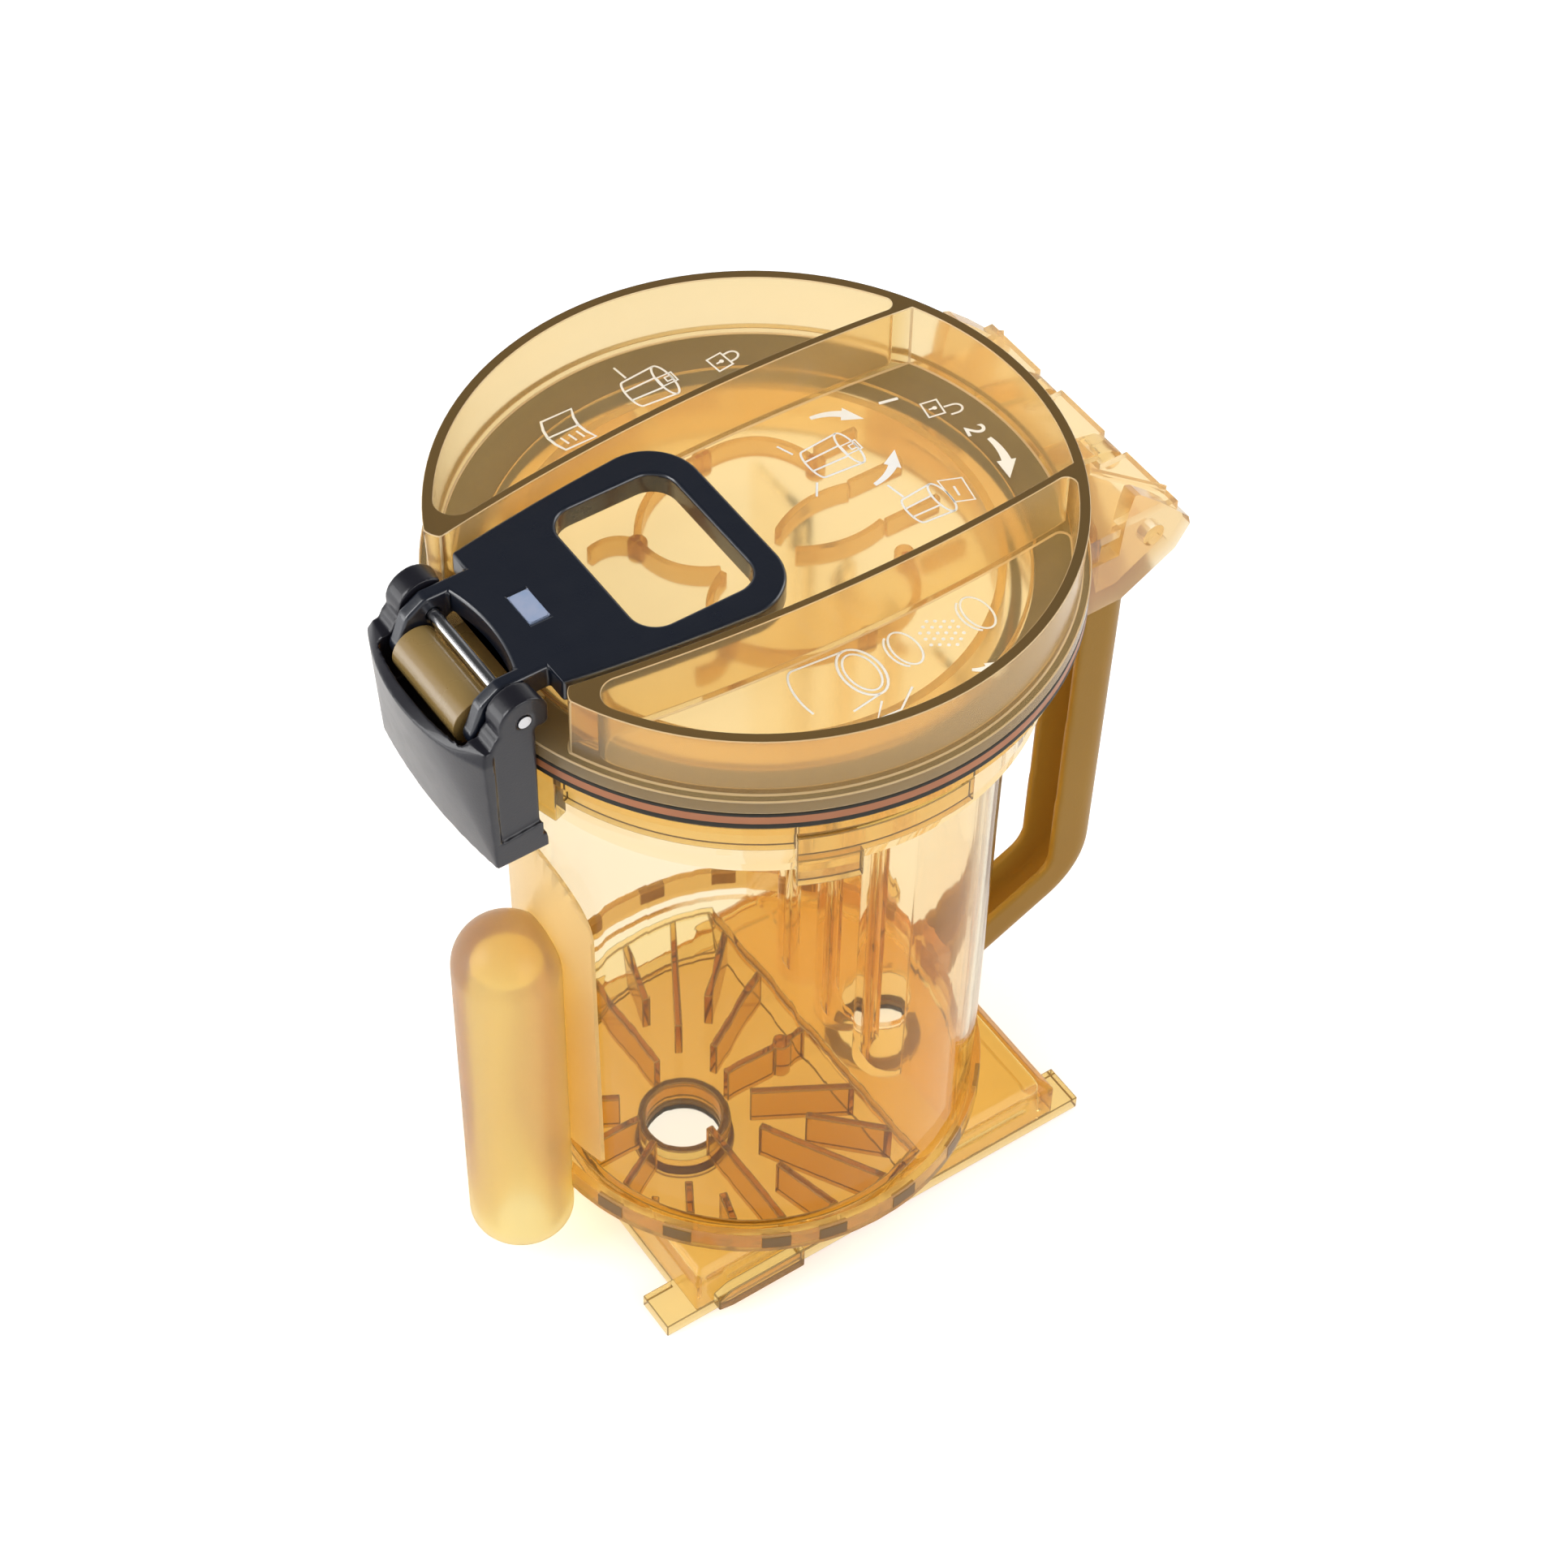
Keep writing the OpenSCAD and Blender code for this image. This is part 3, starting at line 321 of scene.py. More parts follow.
def let_light_through(tree, shader, colour):
    """Lamps shine through the plastic, tinted, in place of a solid shadow."""
    path = tree.nodes.new("ShaderNodeLightPath")
    clear = tree.nodes.new("ShaderNodeBsdfTransparent")
    clear.inputs["Color"].default_value = colour
    mix = tree.nodes.new("ShaderNodeMixShader")
    tree.links.new(path.outputs["Is Shadow Ray"], mix.inputs[0])
    tree.links.new(shader.outputs[0], mix.inputs[1])
    tree.links.new(clear.outputs[0], mix.inputs[2])
    out = tree.nodes["Material Output"]
    tree.links.new(mix.outputs[0], out.inputs["Surface"])


def absorb(tree, colour, density):
    """Thick stretches and edges turn darker than thin walls."""
    volume = tree.nodes.new("ShaderNodeVolumeAbsorption")
    volume.inputs["Color"].default_value = (*colour, 1)
    volume.inputs["Density"].default_value = density
    tree.links.new(volume.outputs[0], tree.nodes["Material Output"].inputs["Volume"])


def clear_material(name, tone, drift_tone, polish, grain, clarity, ior, coat, depth=None):
    """See-through plastic. Clarity is how much of its face lets light in; depth is the colour
    and density of its inside."""
    material, tree, shader = new_material(name, tone, drift_tone, CLEAR_DRIFT_SCALE, polish, grain)
    shader.inputs["Transmission Weight"].default_value = clarity
    shader.inputs["IOR"].default_value = ior
    shader.inputs["Coat Weight"].default_value = coat
    shader.inputs["Coat Roughness"].default_value = polish[0]
    lamp_tint = [SHADOW_PALENESS + (1 - SHADOW_PALENESS) * part for part in tone]
    let_light_through(tree, shader, (*lamp_tint, 1))
    if depth:
        absorb(tree, *depth)
    return material


def solid_material(name, tone, drift_tone, drift_scale, polish, grain, specular=0.5, coat=0.0):
    """Plastic, rubber or paint that no light goes through."""
    material, _, shader = new_material(name, tone, drift_tone, drift_scale, polish, grain)
    shader.inputs["Specular IOR Level"].default_value = specular
    shader.inputs["Coat Weight"].default_value = coat
    return material


def steel_material():
    material, _, shader = new_material("turned_steel", (0.80, 0.80, 0.81), (0.70, 0.70, 0.72),
        90, (0.14, 0.22), (1400, 0.00001))
    shader.inputs["Metallic"].default_value = 1.0
    return material


def make_materials():
    return {
        "clear": clear_material("clear_plastic", (0.99, 0.94, 0.83), (0.98, 0.92, 0.79),
            (0.02, 0.05), (60, 0.000005), 1.0, 1.12, 0.12, ((0.97, 0.86, 0.60), 45)),
        "lid": clear_material("lid_plastic", (0.98, 0.86, 0.61), (0.95, 0.81, 0.54),
            (0.17, 0.24), FINE_GRAIN, 0.90, 1.20, 0.2, (AMBER_DEPTH, 105)),
        # Painted shade: the top of the lid's rim in dark brown, as it looks when seen along the
        # wall
        "lid_rim_shade": clear_material("lid_rim_shade_plastic", (0.25, 0.155, 0.055), (0.21, 0.13, 0.045),
            (0.20, 0.28), FINE_GRAIN, 0.45, 1.22, 0.1, (AMBER_DEPTH, 110)),
        # Painted highlight: lighter, glossier lines on the lid's rounded edges
        "lid_highlight_line": clear_material("lid_highlight_line_plastic", (0.80, 0.60, 0.34), (0.74, 0.54, 0.28),
            (0.10, 0.16), FINE_GRAIN, 0.35, 1.22, 0.5),
        "amber": clear_material("amber_plastic", (0.95, 0.79, 0.43), (0.91, 0.73, 0.36),
            (0.08, 0.14), FINE_GRAIN, 0.92, 1.22, 0.35, (AMBER_DEPTH, 160)),
        # Painted shade: dark lines along the rounded edges of amber mouldings
        "amber_edge_shade": clear_material("amber_edge_shade_plastic", (0.42, 0.27, 0.10), (0.36, 0.23, 0.08),
            (0.14, 0.22), FINE_GRAIN, 0.5, 1.22, 0.4),
        "floor": clear_material("vessel_floor_plastic", (0.99, 0.93, 0.76), (0.98, 0.90, 0.70),
            (0.06, 0.12), FINE_GRAIN, 1.0, 1.16, 0.15, (AMBER_DEPTH, 45)),
        "rib": clear_material("rib_plastic", (0.86, 0.65, 0.34), (0.80, 0.59, 0.28),
            (0.20, 0.28), FINE_GRAIN, 0.82, 1.16, 0.1, (AMBER_DEPTH, 120)),
        "bracket": clear_material("bracket_plastic", (0.97, 0.88, 0.68), (0.95, 0.84, 0.61),
            (0.16, 0.24), FINE_GRAIN, 0.82, 1.16, 0.4, ((0.88, 0.70, 0.30), 170)),
        "olive": clear_material("olive_plastic", (0.94, 0.80, 0.46), (0.90, 0.74, 0.39),
            (0.10, 0.18), FINE_GRAIN, 0.94, 1.20, 0.3, (AMBER_DEPTH, 115)),
        "basin": clear_material("basin_plastic", (0.97, 0.86, 0.55), (0.94, 0.80, 0.47),
            (0.06, 0.12), FINE_GRAIN, 1.0, 1.18, 0.2, (AMBER_DEPTH, 90)),
        "fin": clear_material("fin_plastic", (0.84, 0.66, 0.27), (0.78, 0.60, 0.22),
            (0.06, 0.12), FINE_GRAIN, 0.96, 1.18, 0.2, (AMBER_DEPTH, 190)),
        # Painted shade: dark lines along the rounded edges of olive mouldings
        "olive_edge_shade": clear_material("olive_edge_shade_plastic", (0.30, 0.19, 0.065), (0.25, 0.16, 0.05),
            (0.14, 0.22), FINE_GRAIN, 0.5, 1.2, 0.2),
        "ring": clear_material("foot_ring_plastic", (0.86, 0.65, 0.29), (0.80, 0.59, 0.23),
            (0.15, 0.24), FINE_GRAIN, 0.84, 1.20, 0.3, (AMBER_DEPTH, 120)),
        "lug": clear_material("foot_lug_plastic", (0.30, 0.18, 0.06), (0.24, 0.14, 0.05),
            (0.2, 0.3), FINE_GRAIN, 0.4, 1.20, 0.3),
        "gold": clear_material("frosted_plastic", (1.0, 0.95, 0.74), (0.97, 0.91, 0.66),
            (0.28, 0.38), FROST, 0.82, 1.22, 0.15, ((0.92, 0.82, 0.36), 190)),
        "pad": clear_material("frosted_pad", (0.96, 0.80, 0.50), (0.92, 0.74, 0.42),
            (0.28, 0.38), FROST, 0.80, 1.20, 0.2),
        "handle": clear_material("handle_plastic", (0.46, 0.265, 0.04), (0.40, 0.22, 0.03),
            (0.26, 0.36), FROST, 0.35, 1.24, 0.0, (AMBER_DEPTH, 60)),
        "barrel": clear_material("barrel_plastic", (0.42, 0.28, 0.09), (0.30, 0.19, 0.06),
            (0.22, 0.32), FROST, 0.25, 1.45, 1.0, (AMBER_DEPTH, 60)),
        "black": solid_material("black_plastic", (0.0062, 0.009, 0.018), (0.0085, 0.012, 0.022),
            60, (0.24, 0.34), (1800, 0.00002), 0.8, 0.5),
        "claw": solid_material("claw_plastic", (0.010, 0.010, 0.015), (0.015, 0.014, 0.020),
            60, (0.26, 0.36), (1800, 0.00002), 0.45, 0.3),
        "pale": solid_material("pale_inset", (0.24, 0.34, 0.52), (0.42, 0.44, 0.56),
            320, (0.16, 0.24), (900, 0.00001), 0.6, 0.8),
        "gasket": solid_material("gasket_rubber", (0.017, 0.014, 0.008), (0.026, 0.021, 0.012),
            120, (0.42, 0.55), (900, 0.00003), 0.3),
        # Painted glow: an orange band on the side of the black rubber gasket
        "gasket_side_glow": solid_material("gasket_side_glow_rubber", (0.46, 0.17, 0.06), (0.34, 0.12, 0.05),
            60, (0.30, 0.42), (900, 0.00003)),
        "rubber": solid_material("black_seal", (0.020, 0.019, 0.017), (0.028, 0.026, 0.024),
            160, (0.5, 0.6), (900, 0.00003)),
        "print": solid_material("white_print", (0.92, 0.92, 0.92), (0.86, 0.86, 0.86),
            500, (0.45, 0.55), (2500, 0.000005)),
        "steel": steel_material(),
    }


# Finish and record slot of every node
FINISHES = {
    "olive": ("olive_plastic", ["base_plate", "plenum_box", "slide_rails"]),
    "basin": ("olive_plastic", ["basin_wall"]),
    "fin": ("olive_plastic", ["support_fins", "inlet_collar"]),
    "lug": ("olive_plastic", ["foot_lugs"]),
    "rubber": ("seal_rubber", ["inlet_seal", "outlet_seal"]),
    "gasket": ("seal_rubber", ["lid_gasket"]),
    "clear": ("clear_plastic", ["vessel_wall", "return_duct", "rim_collar"]),
    "amber": ("amber_plastic", ["collar_tabs", "latch_keeper", "collar_band", "lid_ribs"]),
    "floor": ("amber_plastic", ["vessel_floor"]),
    "lid": ("amber_plastic", ["lid", "lid_spigot", "lid_hooks"]),
    "bracket": ("amber_plastic", ["bracket"]),
    "ring": ("frosted_plastic", ["foot_ring"]),
    "gold": ("frosted_plastic", ["side_column"]),
    "pad": ("frosted_plastic", ["column_pad"]),
    "handle": ("frosted_plastic", ["handle"]),
    "barrel": ("amber_plastic", ["latch_lug"]),
    "black": ("black_plastic", ["lever"]),
    "claw": ("black_plastic", ["claw"]),
    "pale": ("pale_plastic", ["lever_inset"]),
    "steel": ("steel", ["pivot_pin", "claw_pin"]),
}


def wear(piece, *materials):
    piece.data.materials.clear()
    for material in materials:
        piece.data.materials.append(material)


def dress(materials):
    for finish, (slot, names) in FINISHES.items():
        for name in names:
            wear(nodes[name], materials[finish])


# ---- rounded and softened pieces ----

# Width of the rounding of each piece's edges in millimetres, and the finish of the rounding.
# That finish is painted shade, dark lines along the edges, except on the lid, where it is a
# painted highlight.
# A piece of width 0 keeps its own edges.
ROUNDINGS = {
    "lever": (0.9, None), "lid": (0.35, "lid_highlight_line"), "base_plate": (0.3, "olive_edge_shade"),
    "slide_rails": (0.4, "olive_edge_shade"), "foot_ring": (0.25, None),
    "collar_band": (0.3, "amber_edge_shade"), "collar_tabs": (0.35, "amber_edge_shade"),
    "latch_keeper": (0.4, None), "support_fins": (0.35, "olive_edge_shade"),
    "basin_wall": (0.35, "olive_edge_shade"), "inlet_collar": (0.45, "olive_edge_shade"),
    "lid_hooks": (0.4, None), "latch_lug": (0.25, None), "return_duct": (0.3, None),
    "lid_gasket": (0.4, None), "vessel_wall": (0, None), "rim_collar": (0, None),
    "vessel_floor": (0, None), "lid_spigot": (0, None), "side_column": (0, None),
    "column_pad": (0, None), "foot_lugs": (0, None), "bracket": (0, None),
}
# Grid in millimetres and rounds of smoothing of each soft-edged moulding
SOFTENINGS = {"claw": (0.34, 6), "plenum_box": (0.7, 4), "handle": (0.6, 5)}
SMOOTHING = 0.5
ROUNDING_STEPS = 3
# Edges that turn by more degrees than this are rounded
ROUNDING_ANGLE = 30
# Faces that turn by fewer degrees than this become one face
FLAT_ANGLE = 0.4
FLAT_ANGLES = {"support_fins": 3.0, "foot_ring": 3.0}
SHADING_ANGLE = 35
# Mouldings stand this far inside their own outline, in millimetres, so that no two faces meet
CLEARANCE = 0.03
MERGE = 0.01

# Top of the lid's rim, and how far below it a level face still belongs to it.
# These faces take a painted shade, a dark brown copy of the lid plastic.
LID_TOP = 217.5
LID_TOP_BAND = 0.5
LEVEL_NORMAL = 0.95
# Radius past which the gasket's side shows, and the heights of its band of painted orange glow
GASKET_EDGE = 71.3
GASKET_BAND = (194.3, 196.4)
# Bight in the lever's back edge: its depth, its half-width, and where the edge stands
BIGHT_DEPTH = 2.0
BIGHT_HALF = 12.7
LEVER_WEB = -67.5
BIGHT_CUTTER_HEIGHT = 30
BIGHT_CUTTER_LEVEL = 210
BIGHT_CUTTER_SIDES = 360


def copy_of(name, ending):
    """A copy of a node with its own mesh, its triangles joined to each other."""
    piece = bpy.data.objects.new(name + ending, nodes[name].data.copy())
    bpy.context.scene.collection.objects.link(piece)
    take(piece)
    bpy.ops.object.mode_set(mode="EDIT")
    bpy.ops.mesh.select_all(action="SELECT")
    bpy.ops.mesh.remove_doubles(threshold=MERGE * MM)
    bpy.ops.object.mode_set(mode="OBJECT")
    return piece


def apply_all(piece):
    take(piece)
    for modifier in list(piece.modifiers):
        bpy.ops.object.modifier_apply(modifier=modifier.name)


def shade_evenly(piece):
    """Smooth over roundings, and flat where the faces are large."""
    take(piece)
    bpy.ops.object.shade_smooth_by_angle(angle=math.radians(SHADING_ANGLE))
    even = piece.modifiers.new("even", "WEIGHTED_NORMAL")
    even.keep_sharp = True
    bpy.ops.object.modifier_apply(modifier=even.name)


def draw_in(piece):
    """Moves the skin inwards by the clearance, along its normals."""
    take(piece)
    skin = piece.modifiers.new("clearance", "DISPLACE")
    skin.direction = "NORMAL"
    skin.mid_level = 0
    skin.strength = -CLEARANCE * MM
    bpy.ops.object.modifier_apply(modifier=skin.name)


def stand_for(piece, name):
    """The piece stands for a node: it rides with the node's body, and the node is hidden."""
    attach(piece, body_of[name])
    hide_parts(name)


def cut_bight(piece):
    """The lever's back edge curves inwards between its arms."""
    radius = (BIGHT_HALF ** 2 + BIGHT_DEPTH ** 2) / (2 * BIGHT_DEPTH)
    deselect()
    bpy.ops.mesh.primitive_cylinder_add(
        vertices=BIGHT_CUTTER_SIDES, radius=radius * MM, depth=BIGHT_CUTTER_HEIGHT * MM,
        location=((LEVER_WEB + BIGHT_DEPTH - radius) * MM, 0, BIGHT_CUTTER_LEVEL * MM))
    cutter = bpy.context.object
    bpy.ops.object.mode_set(mode="EDIT")
    for side in (-1, 1):
        bpy.ops.mesh.select_all(action="SELECT")
        bpy.ops.mesh.bisect(plane_co=(0, side * BIGHT_HALF * MM, 0), plane_no=(0, side, 0),
            clear_outer=True, use_fill=True)
    bpy.ops.object.mode_set(mode="OBJECT")
    take(piece)
    cut = piece.modifiers.new("bight", "BOOLEAN")
    cut.operation = "DIFFERENCE"
    cut.object = cutter
    cut.solver = "EXACT"
    bpy.ops.object.modifier_apply(modifier=cut.name)
    bpy.data.objects.remove(cutter)


def rounded_copy(name, width, line, materials):
    """A copy of a node with its sharp edges rounded. It stands for the node."""
    piece = copy_of(name, "_rounded")
    if name == "lever":
        cut_bight(piece)
    bpy.ops.object.mode_set(mode="EDIT")
    bpy.ops.mesh.select_all(action="SELECT")
    flat_angle = FLAT_ANGLES.get(name, FLAT_ANGLE)
    bpy.ops.mesh.dissolve_limited(angle_limit=math.radians(flat_angle))
    bpy.ops.object.mode_set(mode="OBJECT")
    if width:
        bevel = piece.modifiers.new("rounding", "BEVEL")
        bevel.width = width * MM
        bevel.segments = ROUNDING_STEPS
        bevel.limit_method = "ANGLE"
        bevel.angle_limit = math.radians(ROUNDING_ANGLE)
        bevel.use_clamp_overlap = False
        # The rounding's faces take the line finish: painted shade along the edges, painted
        # highlight on the lid
        if line:
            piece.data.materials.append(materials[line])
            bevel.material = 1
        apply_all(piece)
    draw_in(piece)
    shade_evenly(piece)
    stand_for(piece, name)
    return piece


def softened_copy(name, grid, rounds):
    """A copy of a node rebuilt on a fine grid and smoothed, as a moulding with soft edges."""
    piece = copy_of(name, "_softened")
    remesh = piece.modifiers.new("grid", "REMESH")
    remesh.mode = "VOXEL"
    remesh.voxel_size = grid * MM
    smooth = piece.modifiers.new("soften", "SMOOTH")
    smooth.factor = SMOOTHING
    smooth.iterations = rounds
    apply_all(piece)
    draw_in(piece)
    bpy.ops.object.shade_smooth()
    stand_for(piece, name)
    return piece


def split_level(piece, levels):
    """Cuts level lines into a mesh, so that a band of it can take its own finish, here the
    gasket's painted glow.
    """
    take(piece)
    bpy.ops.object.mode_set(mode="EDIT")
    for level in levels:
        bpy.ops.mesh.select_all(action="SELECT")
        bpy.ops.mesh.bisect(plane_co=(0, 0, level * MM), plane_no=(0, 0, 1))
    bpy.ops.object.mode_set(mode="OBJECT")


def mark_faces(piece, material, wanted):
    """Another material on the faces that the test picks."""
    piece.data.materials.append(material)
    for face in piece.data.polygons:
        if wanted(face):
            face.material_index = len(piece.data.materials) - 1


def on_lid_top(face):
    return face.normal.z > LEVEL_NORMAL and face.center.z > (LID_TOP - LID_TOP_BAND) * MM


def on_gasket_band(face):
    low, high = GASKET_BAND
    return face.center.xy.length > GASKET_EDGE * MM and low * MM < face.center.z < high * MM


def make_mouldings(materials):
    for name, (width, line) in ROUNDINGS.items():
        piece = rounded_copy(name, width, line, materials)
        # The rim's top faces take the painted shade
        if name == "lid":
            mark_faces(piece, materials["lid_rim_shade"], on_lid_top)
        # The gasket's side band takes the painted orange glow
        if name == "lid_gasket":
            split_level(piece, GASKET_BAND)
            mark_faces(piece, materials["gasket_side_glow"], on_gasket_band)
    for name, (grid, rounds) in SOFTENINGS.items():
        softened_copy(name, grid, rounds)


# ---- drawing on a level plane ----

def new_curve(name, points, closed):
    """A path of straight runs through points in millimetres."""
    data = bpy.data.curves.new(name, "CURVE")
    data.dimensions = "3D"
    spline = data.splines.new("POLY")
    spline.points.add(len(points) - 1)
    for point, place in zip(spline.points, points):
        height = place[2] if len(place) > 2 else 0
        point.co = (place[0] * MM, place[1] * MM, height * MM, 1)
    spline.use_cyclic_u = closed
    piece = bpy.data.objects.new(name, data)
    bpy.context.scene.collection.objects.link(piece)
    return piece


def as_mesh(piece):
    take(piece)
    bpy.ops.object.convert(target="MESH")
    return bpy.context.object


def join(pieces, name):
    """Makes many pieces one mesh."""
    deselect()
    for piece in pieces:
        piece.select_set(True)
    bpy.context.view_layer.objects.active = pieces[0]
    bpy.ops.object.join()
    pieces[0].name = name
    return pieces[0]


def arc(cx, cy, rx, ry, start, end, count=20):
    """Points along an oval arc, with its angles in degrees."""
    turn = math.radians(end - start) / count
    first = math.radians(start)
    angles = [first + turn * i for i in range(count + 1)]
    return [(cx + rx * math.cos(angle), cy + ry * math.sin(angle)) for angle in angles]


def bowed(start, end, bulge, count=14):
    """Points along an arc between two points. Its middle stands out to the left by the bulge."""
    x0, y0 = start
    x1, y1 = end
    length = math.hypot(x1 - x0, y1 - y0)
    across = (-(y1 - y0) / length, (x1 - x0) / length)
    points = []
    for i in range(count + 1):
        part = i / count
        out = bulge * 4 * part * (1 - part)
        points.append((x0 + (x1 - x0) * part + across[0] * out,
            y0 + (y1 - y0) * part + across[1] * out))
    return points


# ---- ribs under the lid's floor ----

RIB_LOW = 193.6
RIB_HIGH = 198.5
RIB_MIDDLE = (RIB_LOW + RIB_HIGH) / 2
RIB_WIDTH = 1.7
RIB_EDGE = 0.35
BOSS_RADIUS = 2.2
BOSS_EDGE = 0.4
BOSS_SIDES = 32
EDGE_STEPS = 2
# Start, end and bulge of each bowed rib, the ends of the straight ones, and the middles of the
# round bosses, on one side of the latch's plane
RIB_ARCS = [((-29, 20.5), (-19, 17), 2.0), ((-19, 17), (7, 31.5), 4.5),
    ((7, 31.5), (27, 16.7), 5.9), ((7.9, 3.3), (28.6, 6.4), 2.4), ((-19, 17), (-8.5, 0.6), -3.2)]
RIB_BARS = [((29, 7), (43, 7)), ((29, 20), (40, 20))]
RIB_BOSSES = [(-19, 17), (7, 31.5), (27, 16.7)]


def round_edges(piece, width):
    edges = piece.modifiers.new("edges", "BEVEL")
    edges.width = width * MM
    edges.segments = EDGE_STEPS
    edges.limit_method = "ANGLE"
    apply_all(piece)


def rib_wall(points):
    """An upright wall of even thickness along a path."""
    piece = new_curve("rib", [(x, y, RIB_MIDDLE) for x, y in points], False)
    piece.data.extrude = (RIB_HIGH - RIB_LOW) / 2 * MM
    piece = as_mesh(piece)
    wall = piece.modifiers.new("wall", "SOLIDIFY")
    wall.thickness = RIB_WIDTH * MM
    wall.offset = 0
    round_edges(piece, RIB_EDGE)
    return piece


def rib_boss(place):
    deselect()
    bpy.ops.mesh.primitive_cylinder_add(
        vertices=BOSS_SIDES, radius=BOSS_RADIUS * MM, depth=(RIB_HIGH - RIB_LOW) * MM,
        location=(place[0] * MM, place[1] * MM, RIB_MIDDLE * MM))
    piece = bpy.context.object
    bpy.ops.object.transform_apply(location=True, rotation=True, scale=True)
    round_edges(piece, BOSS_EDGE)
    return piece


def make_ribs(materials):
    """Scalloped ribs that stiffen the lid's floor, the same on both sides of the latch's plane."""
    parts = []
    for side in (1, -1):
        for start, end, bulge in RIB_ARCS:
            parts.append(rib_wall([(x, side * y) for x, y in bowed(start, end, bulge)]))
        for start, end in RIB_BARS:
            parts.append(rib_wall([(start[0], side * start[1]), (end[0], side * end[1])]))
        for x, y in RIB_BOSSES:
            parts.append(rib_boss((x, side * y)))
    ribs = join(parts, "lid_rib_pattern")
    shade_evenly(ribs)
    wear(ribs, materials["rib"])
    stand_for(ribs, "lid_ribs")


# ---- white pictograms on the lid's floor ----

# Top of the lid's floor, thickness of the paint and width of a stroke, in millimetres
PRINT_FLOOR = 201.03
PRINT_HEIGHT = 0.05
LINE = 0.55
# Size of a digit's font for its height, and how much its strokes are fattened, in metres
FONT_SIZE = 1.4
FONT_OFFSET = 0.00008
# Length of an arrow's head in arrow widths, and how many runs its curve is drawn in
ARROW_HEAD = 2.6
ARROW_RUNS = 12


class Sheet:
    """Draws marks whose upright is the lid's +X, around one place on the lid, in millimetres."""

    def __init__(self, x, y, turn=0, size=1.0):
        self.x, self.y, self.turn, self.size = x, y, math.radians(turn), size
        self.marks = []

    def place(self, point):
        right, up = point[0] * self.size, point[1] * self.size
        c, s = math.cos(self.turn), math.sin(self.turn)
        right, up = c * right - s * up, s * right + c * up
        return (self.x + up, self.y - right)

    def line(self, points, closed=False, width=LINE):
        piece = new_curve("stroke", [self.place(point) for point in points], closed)
        piece.data.bevel_depth = width / 2 * MM
        piece.data.bevel_resolution = 1
        piece.data.use_fill_caps = True
        self.marks.append(self.flatten(as_mesh(piece), PRINT_HEIGHT / width))

    def patch(self, points):
        """A filled outline."""
        piece = new_curve("patch", [self.place(point) for point in points], True)
        piece.data.dimensions = "2D"
        piece.data.fill_mode = "BOTH"
        piece.data.extrude = PRINT_HEIGHT / 2 * MM
        self.marks.append(self.flatten(as_mesh(piece), 1))

    def dot(self, right, up, radius):
        self.patch(arc(right, up, radius, radius, 0, 330, 11))

    def digit(self, text, height):
        deselect()
        data = bpy.data.curves.new("digit", "FONT")
        data.body = text
        data.size = height * MM * FONT_SIZE
        data.extrude = PRINT_HEIGHT / 2 * MM
        data.offset = FONT_OFFSET
        data.align_x = "CENTER"
        data.align_y = "CENTER"
        piece = bpy.data.objects.new("digit", data)
        bpy.context.scene.collection.objects.link(piece)
        piece = as_mesh(piece)
        piece.rotation_euler = (0, 0, self.turn - math.pi / 2)
        piece.location = (self.x * MM, self.y * MM, 0)
        take(piece)
        bpy.ops.object.transform_apply(location=True, rotation=True, scale=True)
        self.marks.append(self.flatten(piece, 1))

    def flatten(self, piece, factor):
        """Brings a mark to its height above the floor."""
        piece.scale.z = factor
        piece.location.z = PRINT_FLOOR * MM + PRINT_HEIGHT / 2 * MM
        take(piece)
        bpy.ops.object.transform_apply(location=True, rotation=True, scale=True)
        return piece

    def arrow(self, cx, cy, radius, start, end, width, clockwise=False):
        """A curved arrow. It tapers at its tail, and its head points along the arc."""
        def around(distance, angle):
            return (cx + distance * math.cos(angle), cy + distance * math.sin(angle))

        way = -1 if clockwise else 1
        head = ARROW_HEAD * width / radius * way
        stop = math.radians(end) - head
        first = math.radians(start)
        outer, inner = [], []
        for i in range(ARROW_RUNS + 1):
            angle = first + (stop - first) * i / ARROW_RUNS
            half = width * (0.25 + 0.25 * i / ARROW_RUNS)
            outer.append(around(radius + half, angle))
            inner.append(around(radius - half, angle))
        tip = math.radians(end)
        wings = [around(radius + width, stop), around(radius, tip), around(radius - width, stop)]
        self.patch(outer + wings + inner[::-1])


def draw_book(sheet):
    """An open book with three lines of dashes."""
    sheet.line([(-5.2, 4.4), (-2.6, 3.4), (0, 3.0), (2.6, 3.4), (5.2, 4.4), (5.2, -3.4),
        (2.6, -4.4), (0, -4.8), (-2.6, -4.4), (-5.2, -3.4)], closed=True, width=0.7)
    sheet.line([(0, 3.0), (0, -4.8)])
    for row in range(3):
        sheet.line([(1.4, 1.6 - 2 * row), (3.9, 2.2 - 2 * row)])


def draw_padlock(sheet, opened):
    """A padlock. When it is open, its shackle stands higher and to the side."""
    sheet.line([(-2.3, -2), (2.3, -2), (2.3, 1.9), (-2.3, 1.9)], closed=True, width=0.65)
    shift, rise, near_end, far_end = (1.9, 1.3, 2.4, 2.9) if opened else (0, 0, 1.9, 1.9)
    shackle = arc(shift, 3.2 + rise, 1.4, 1.7, 180, 0, 10)
    sheet.line([(-1.4 + shift, near_end)] + shackle + [(1.4 + shift, far_end)])
    sheet.dot(0, 0.4, 0.55)
    sheet.line([(0, 0.2), (0, -1.0)], width=0.5)


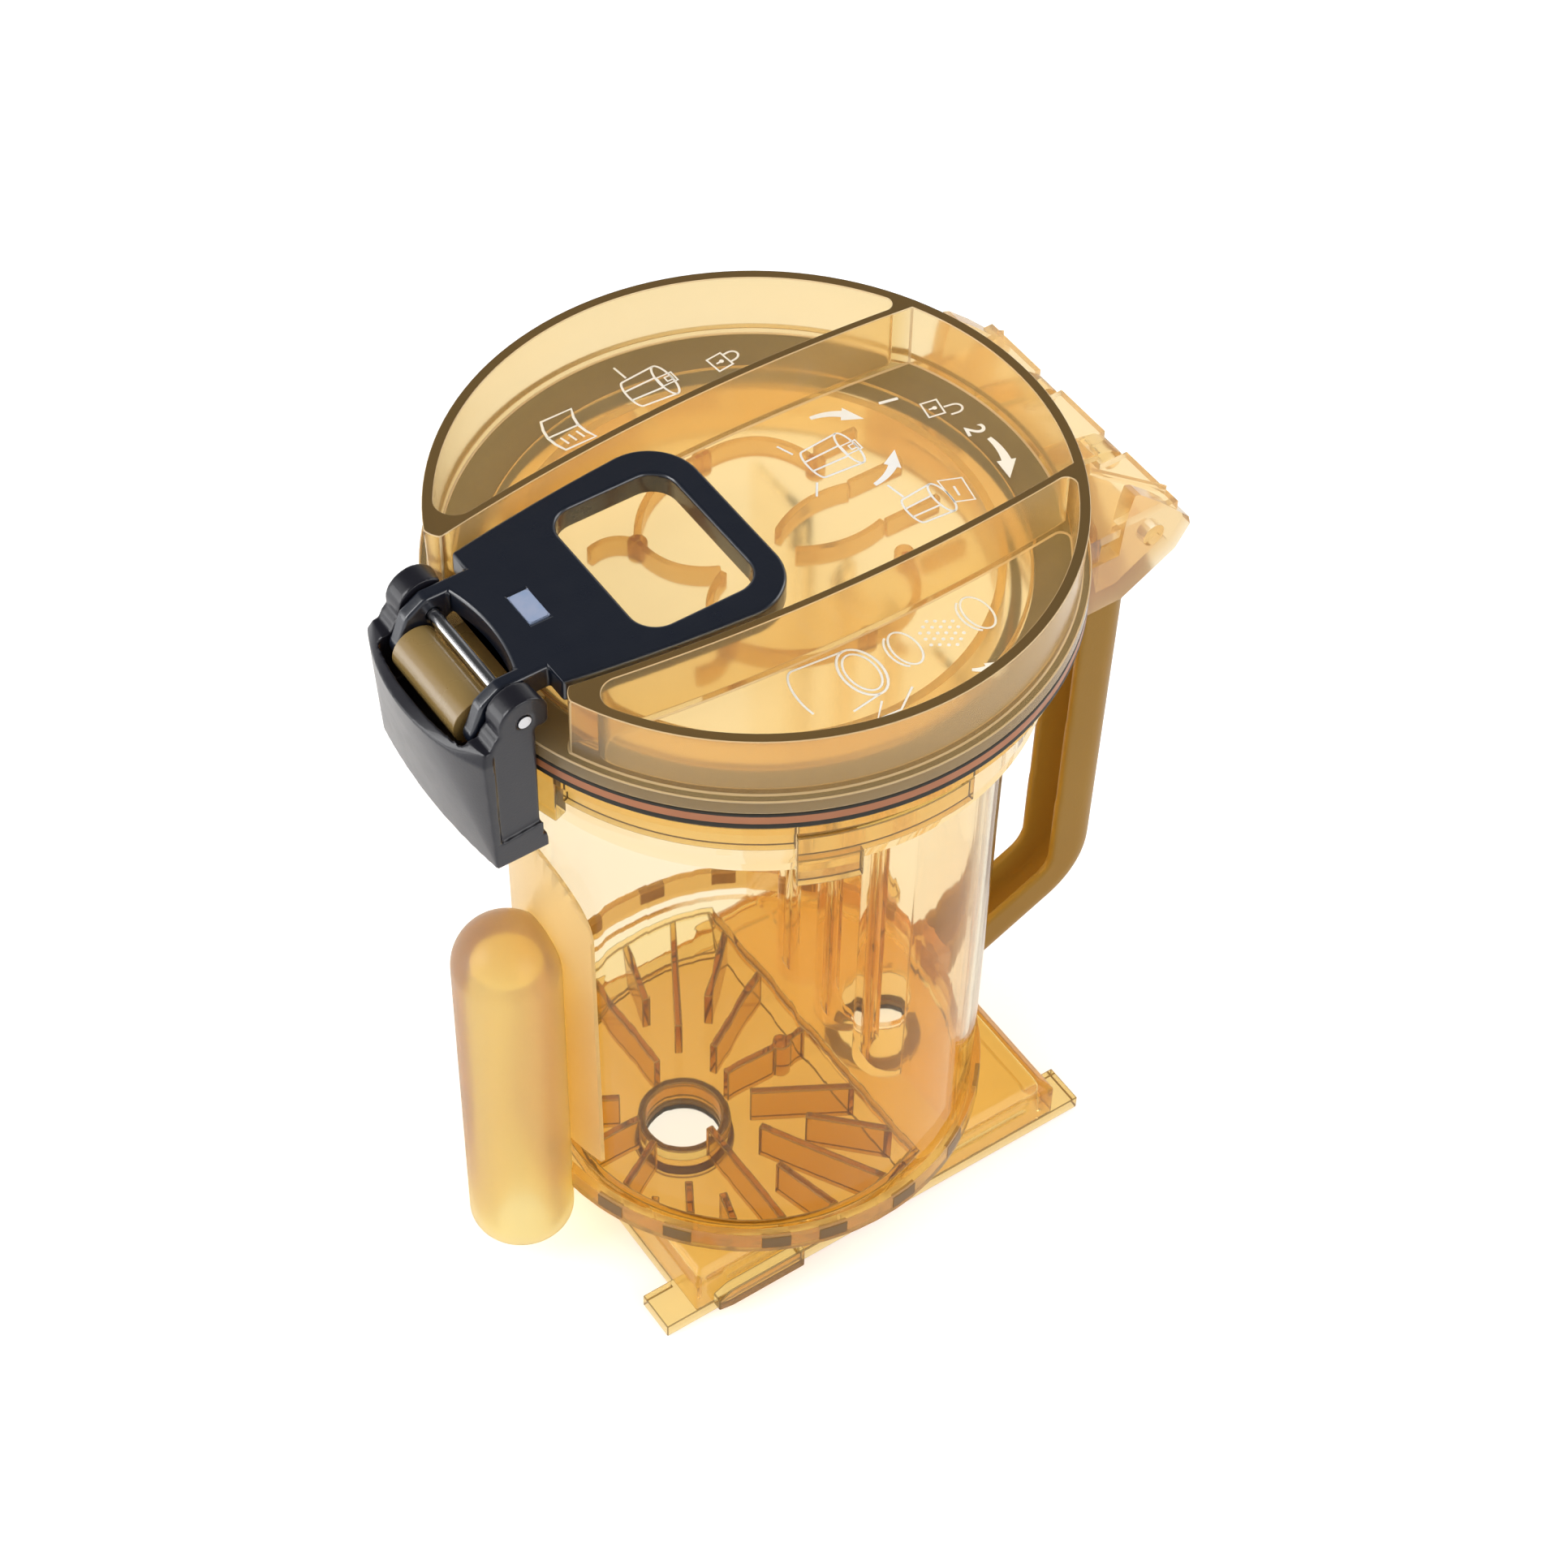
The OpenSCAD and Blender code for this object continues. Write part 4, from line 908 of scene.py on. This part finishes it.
def draw_canister(sheet, half, low, high):
    """A small canister: two sides, an oval rim and two lines of its round body."""
    foot = arc(0, low, half * 0.86, 1.3, 180, 360, 10)
    sheet.line([(-half, high), (-half * 0.86, low)] + foot + [(half, high)])
    sheet.line(arc(0, high, half, 1.7, 0, 345, 23), closed=True)
    sheet.line([(-half * 0.35, high - 1.7), (-half * 0.3, low - 1.2)])
    sheet.line([(half * 0.35, high - 1.7), (half * 0.3, low - 1.2)])


def draw_latch(sheet, high):
    """A lever with its window, on the canister's rim."""
    for half, low, top in ((1.5, -0.6, 3.2), (0.7, 1.0, 2.4)):
        sheet.line([(-half, high + low), (-half, high + top), (half, high + top),
            (half, high + low)], closed=True)


def make_prints(materials):
    """Steps of use as plain pictograms: read, close, open and fill."""
    sheets = []

    def sheet(*place):
        sheets.append(Sheet(*place))
        return sheets[-1]

    draw_book(sheet(-14.6, 52.5))
    closed = sheet(9.2, 54.2)
    draw_canister(closed, 5.2, -5.5, 3.0)
    draw_latch(closed, 2.2)
    closed.line([(-9.5, -4.5), (-5.2, -4.0)])
    draw_padlock(sheet(25.6, 52.4, 6), False)
    opening = sheet(29, 14)
    draw_canister(opening, 5.4, -4.5, 5.0)
    draw_latch(opening, 4.2)
    opening.line([(-9.0, -8.0), (-5.0, -6.5)])
    opening.line([(5.0, -7.0), (8.5, -9.5)])
    opening.arrow(0, 2, 12.4, 175, 118, 2.0, True)
    opening.arrow(0, 2, 12.4, 5, 62, 2.0)
    sheet(49.5, 21.6, -12).digit("1", 4.6)
    draw_padlock(sheet(56.6, 14.2, -10), True)
    sheet(60.2, 3.6, -14).digit("2", 4.6)
    swing = sheet(40, -6)
    swing.arrow(-4.0, 4.0, 17.5, 96, 52, 2.2, True)
    lifting = sheet(41.5, -9.5)
    draw_canister(lifting, 4.8, -7.0, 0.5)
    lifting.line([(-4.6, 2.6), (-2.6, 7.6), (4.4, 6.2), (2.6, 1.9)], closed=True)
    lifting.line([(-1.4, 4.6), (1.6, 4.0)])
    lifting.line([(-9.5, -7.2), (-4.6, -6.4)])
    filling = sheet(0, -42)
    filling.line(arc(0, -1.8, 7.0, 4.4, 0, 350, 29), closed=True, width=0.65)
    filling.line(arc(0, -1.8, 5.6, 3.3, 0, 350, 29), closed=True)
    filling.line([(-7.0, -2.2), (-8.2, -14)] + arc(0, -14, 8.2, 3.2, 180, 300, 10))
    filling.line([(7.0, -2.2), (8.0, -9.5)])
    filling.line([(8.8, -3.0), (12.4, -6.5), (12.9, -1.0), (9.0, 4.5)])
    for up in (9.6, 28.2):
        filling.line(arc(-0.6, up, 5.0, 2.9, 0, 350, 29), closed=True)
        filling.line(arc(-0.6, up - 1.1, 5.0, 2.9, 200, 340, 12))
    for row in range(6):
        for column in range(5):
            right = -4.4 + 2.0 * column + (0.9 if row % 2 else 0)
            up = 14.6 + 1.55 * row
            if abs(right + 0.2) + abs(up - 18.6) * 0.7 < 5.6:
                filling.dot(right, up, 0.42)
    filling.arrow(5.6, 22.5, 8.0, -38, 12, 1.5)
    prints = join([mark for page in sheets for mark in page.marks], "lid_pictograms")
    wear(prints, materials["print"])
    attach(prints, "lid")


def main():
    view = bpy.context.scene.view_settings
    view.view_transform = "Standard"
    cycles = bpy.context.scene.cycles
    cycles.max_bounces = LIGHT_BOUNCES
    cycles.transmission_bounces = LIGHT_BOUNCES
    cycles.transparent_max_bounces = LIGHT_BOUNCES
    make_camera()
    make_floor()
    make_world()
    make_lamps()
    materials = make_materials()
    dress(materials)
    make_mouldings(materials)
    make_ribs(materials)
    make_prints(materials)


main()
deselect()
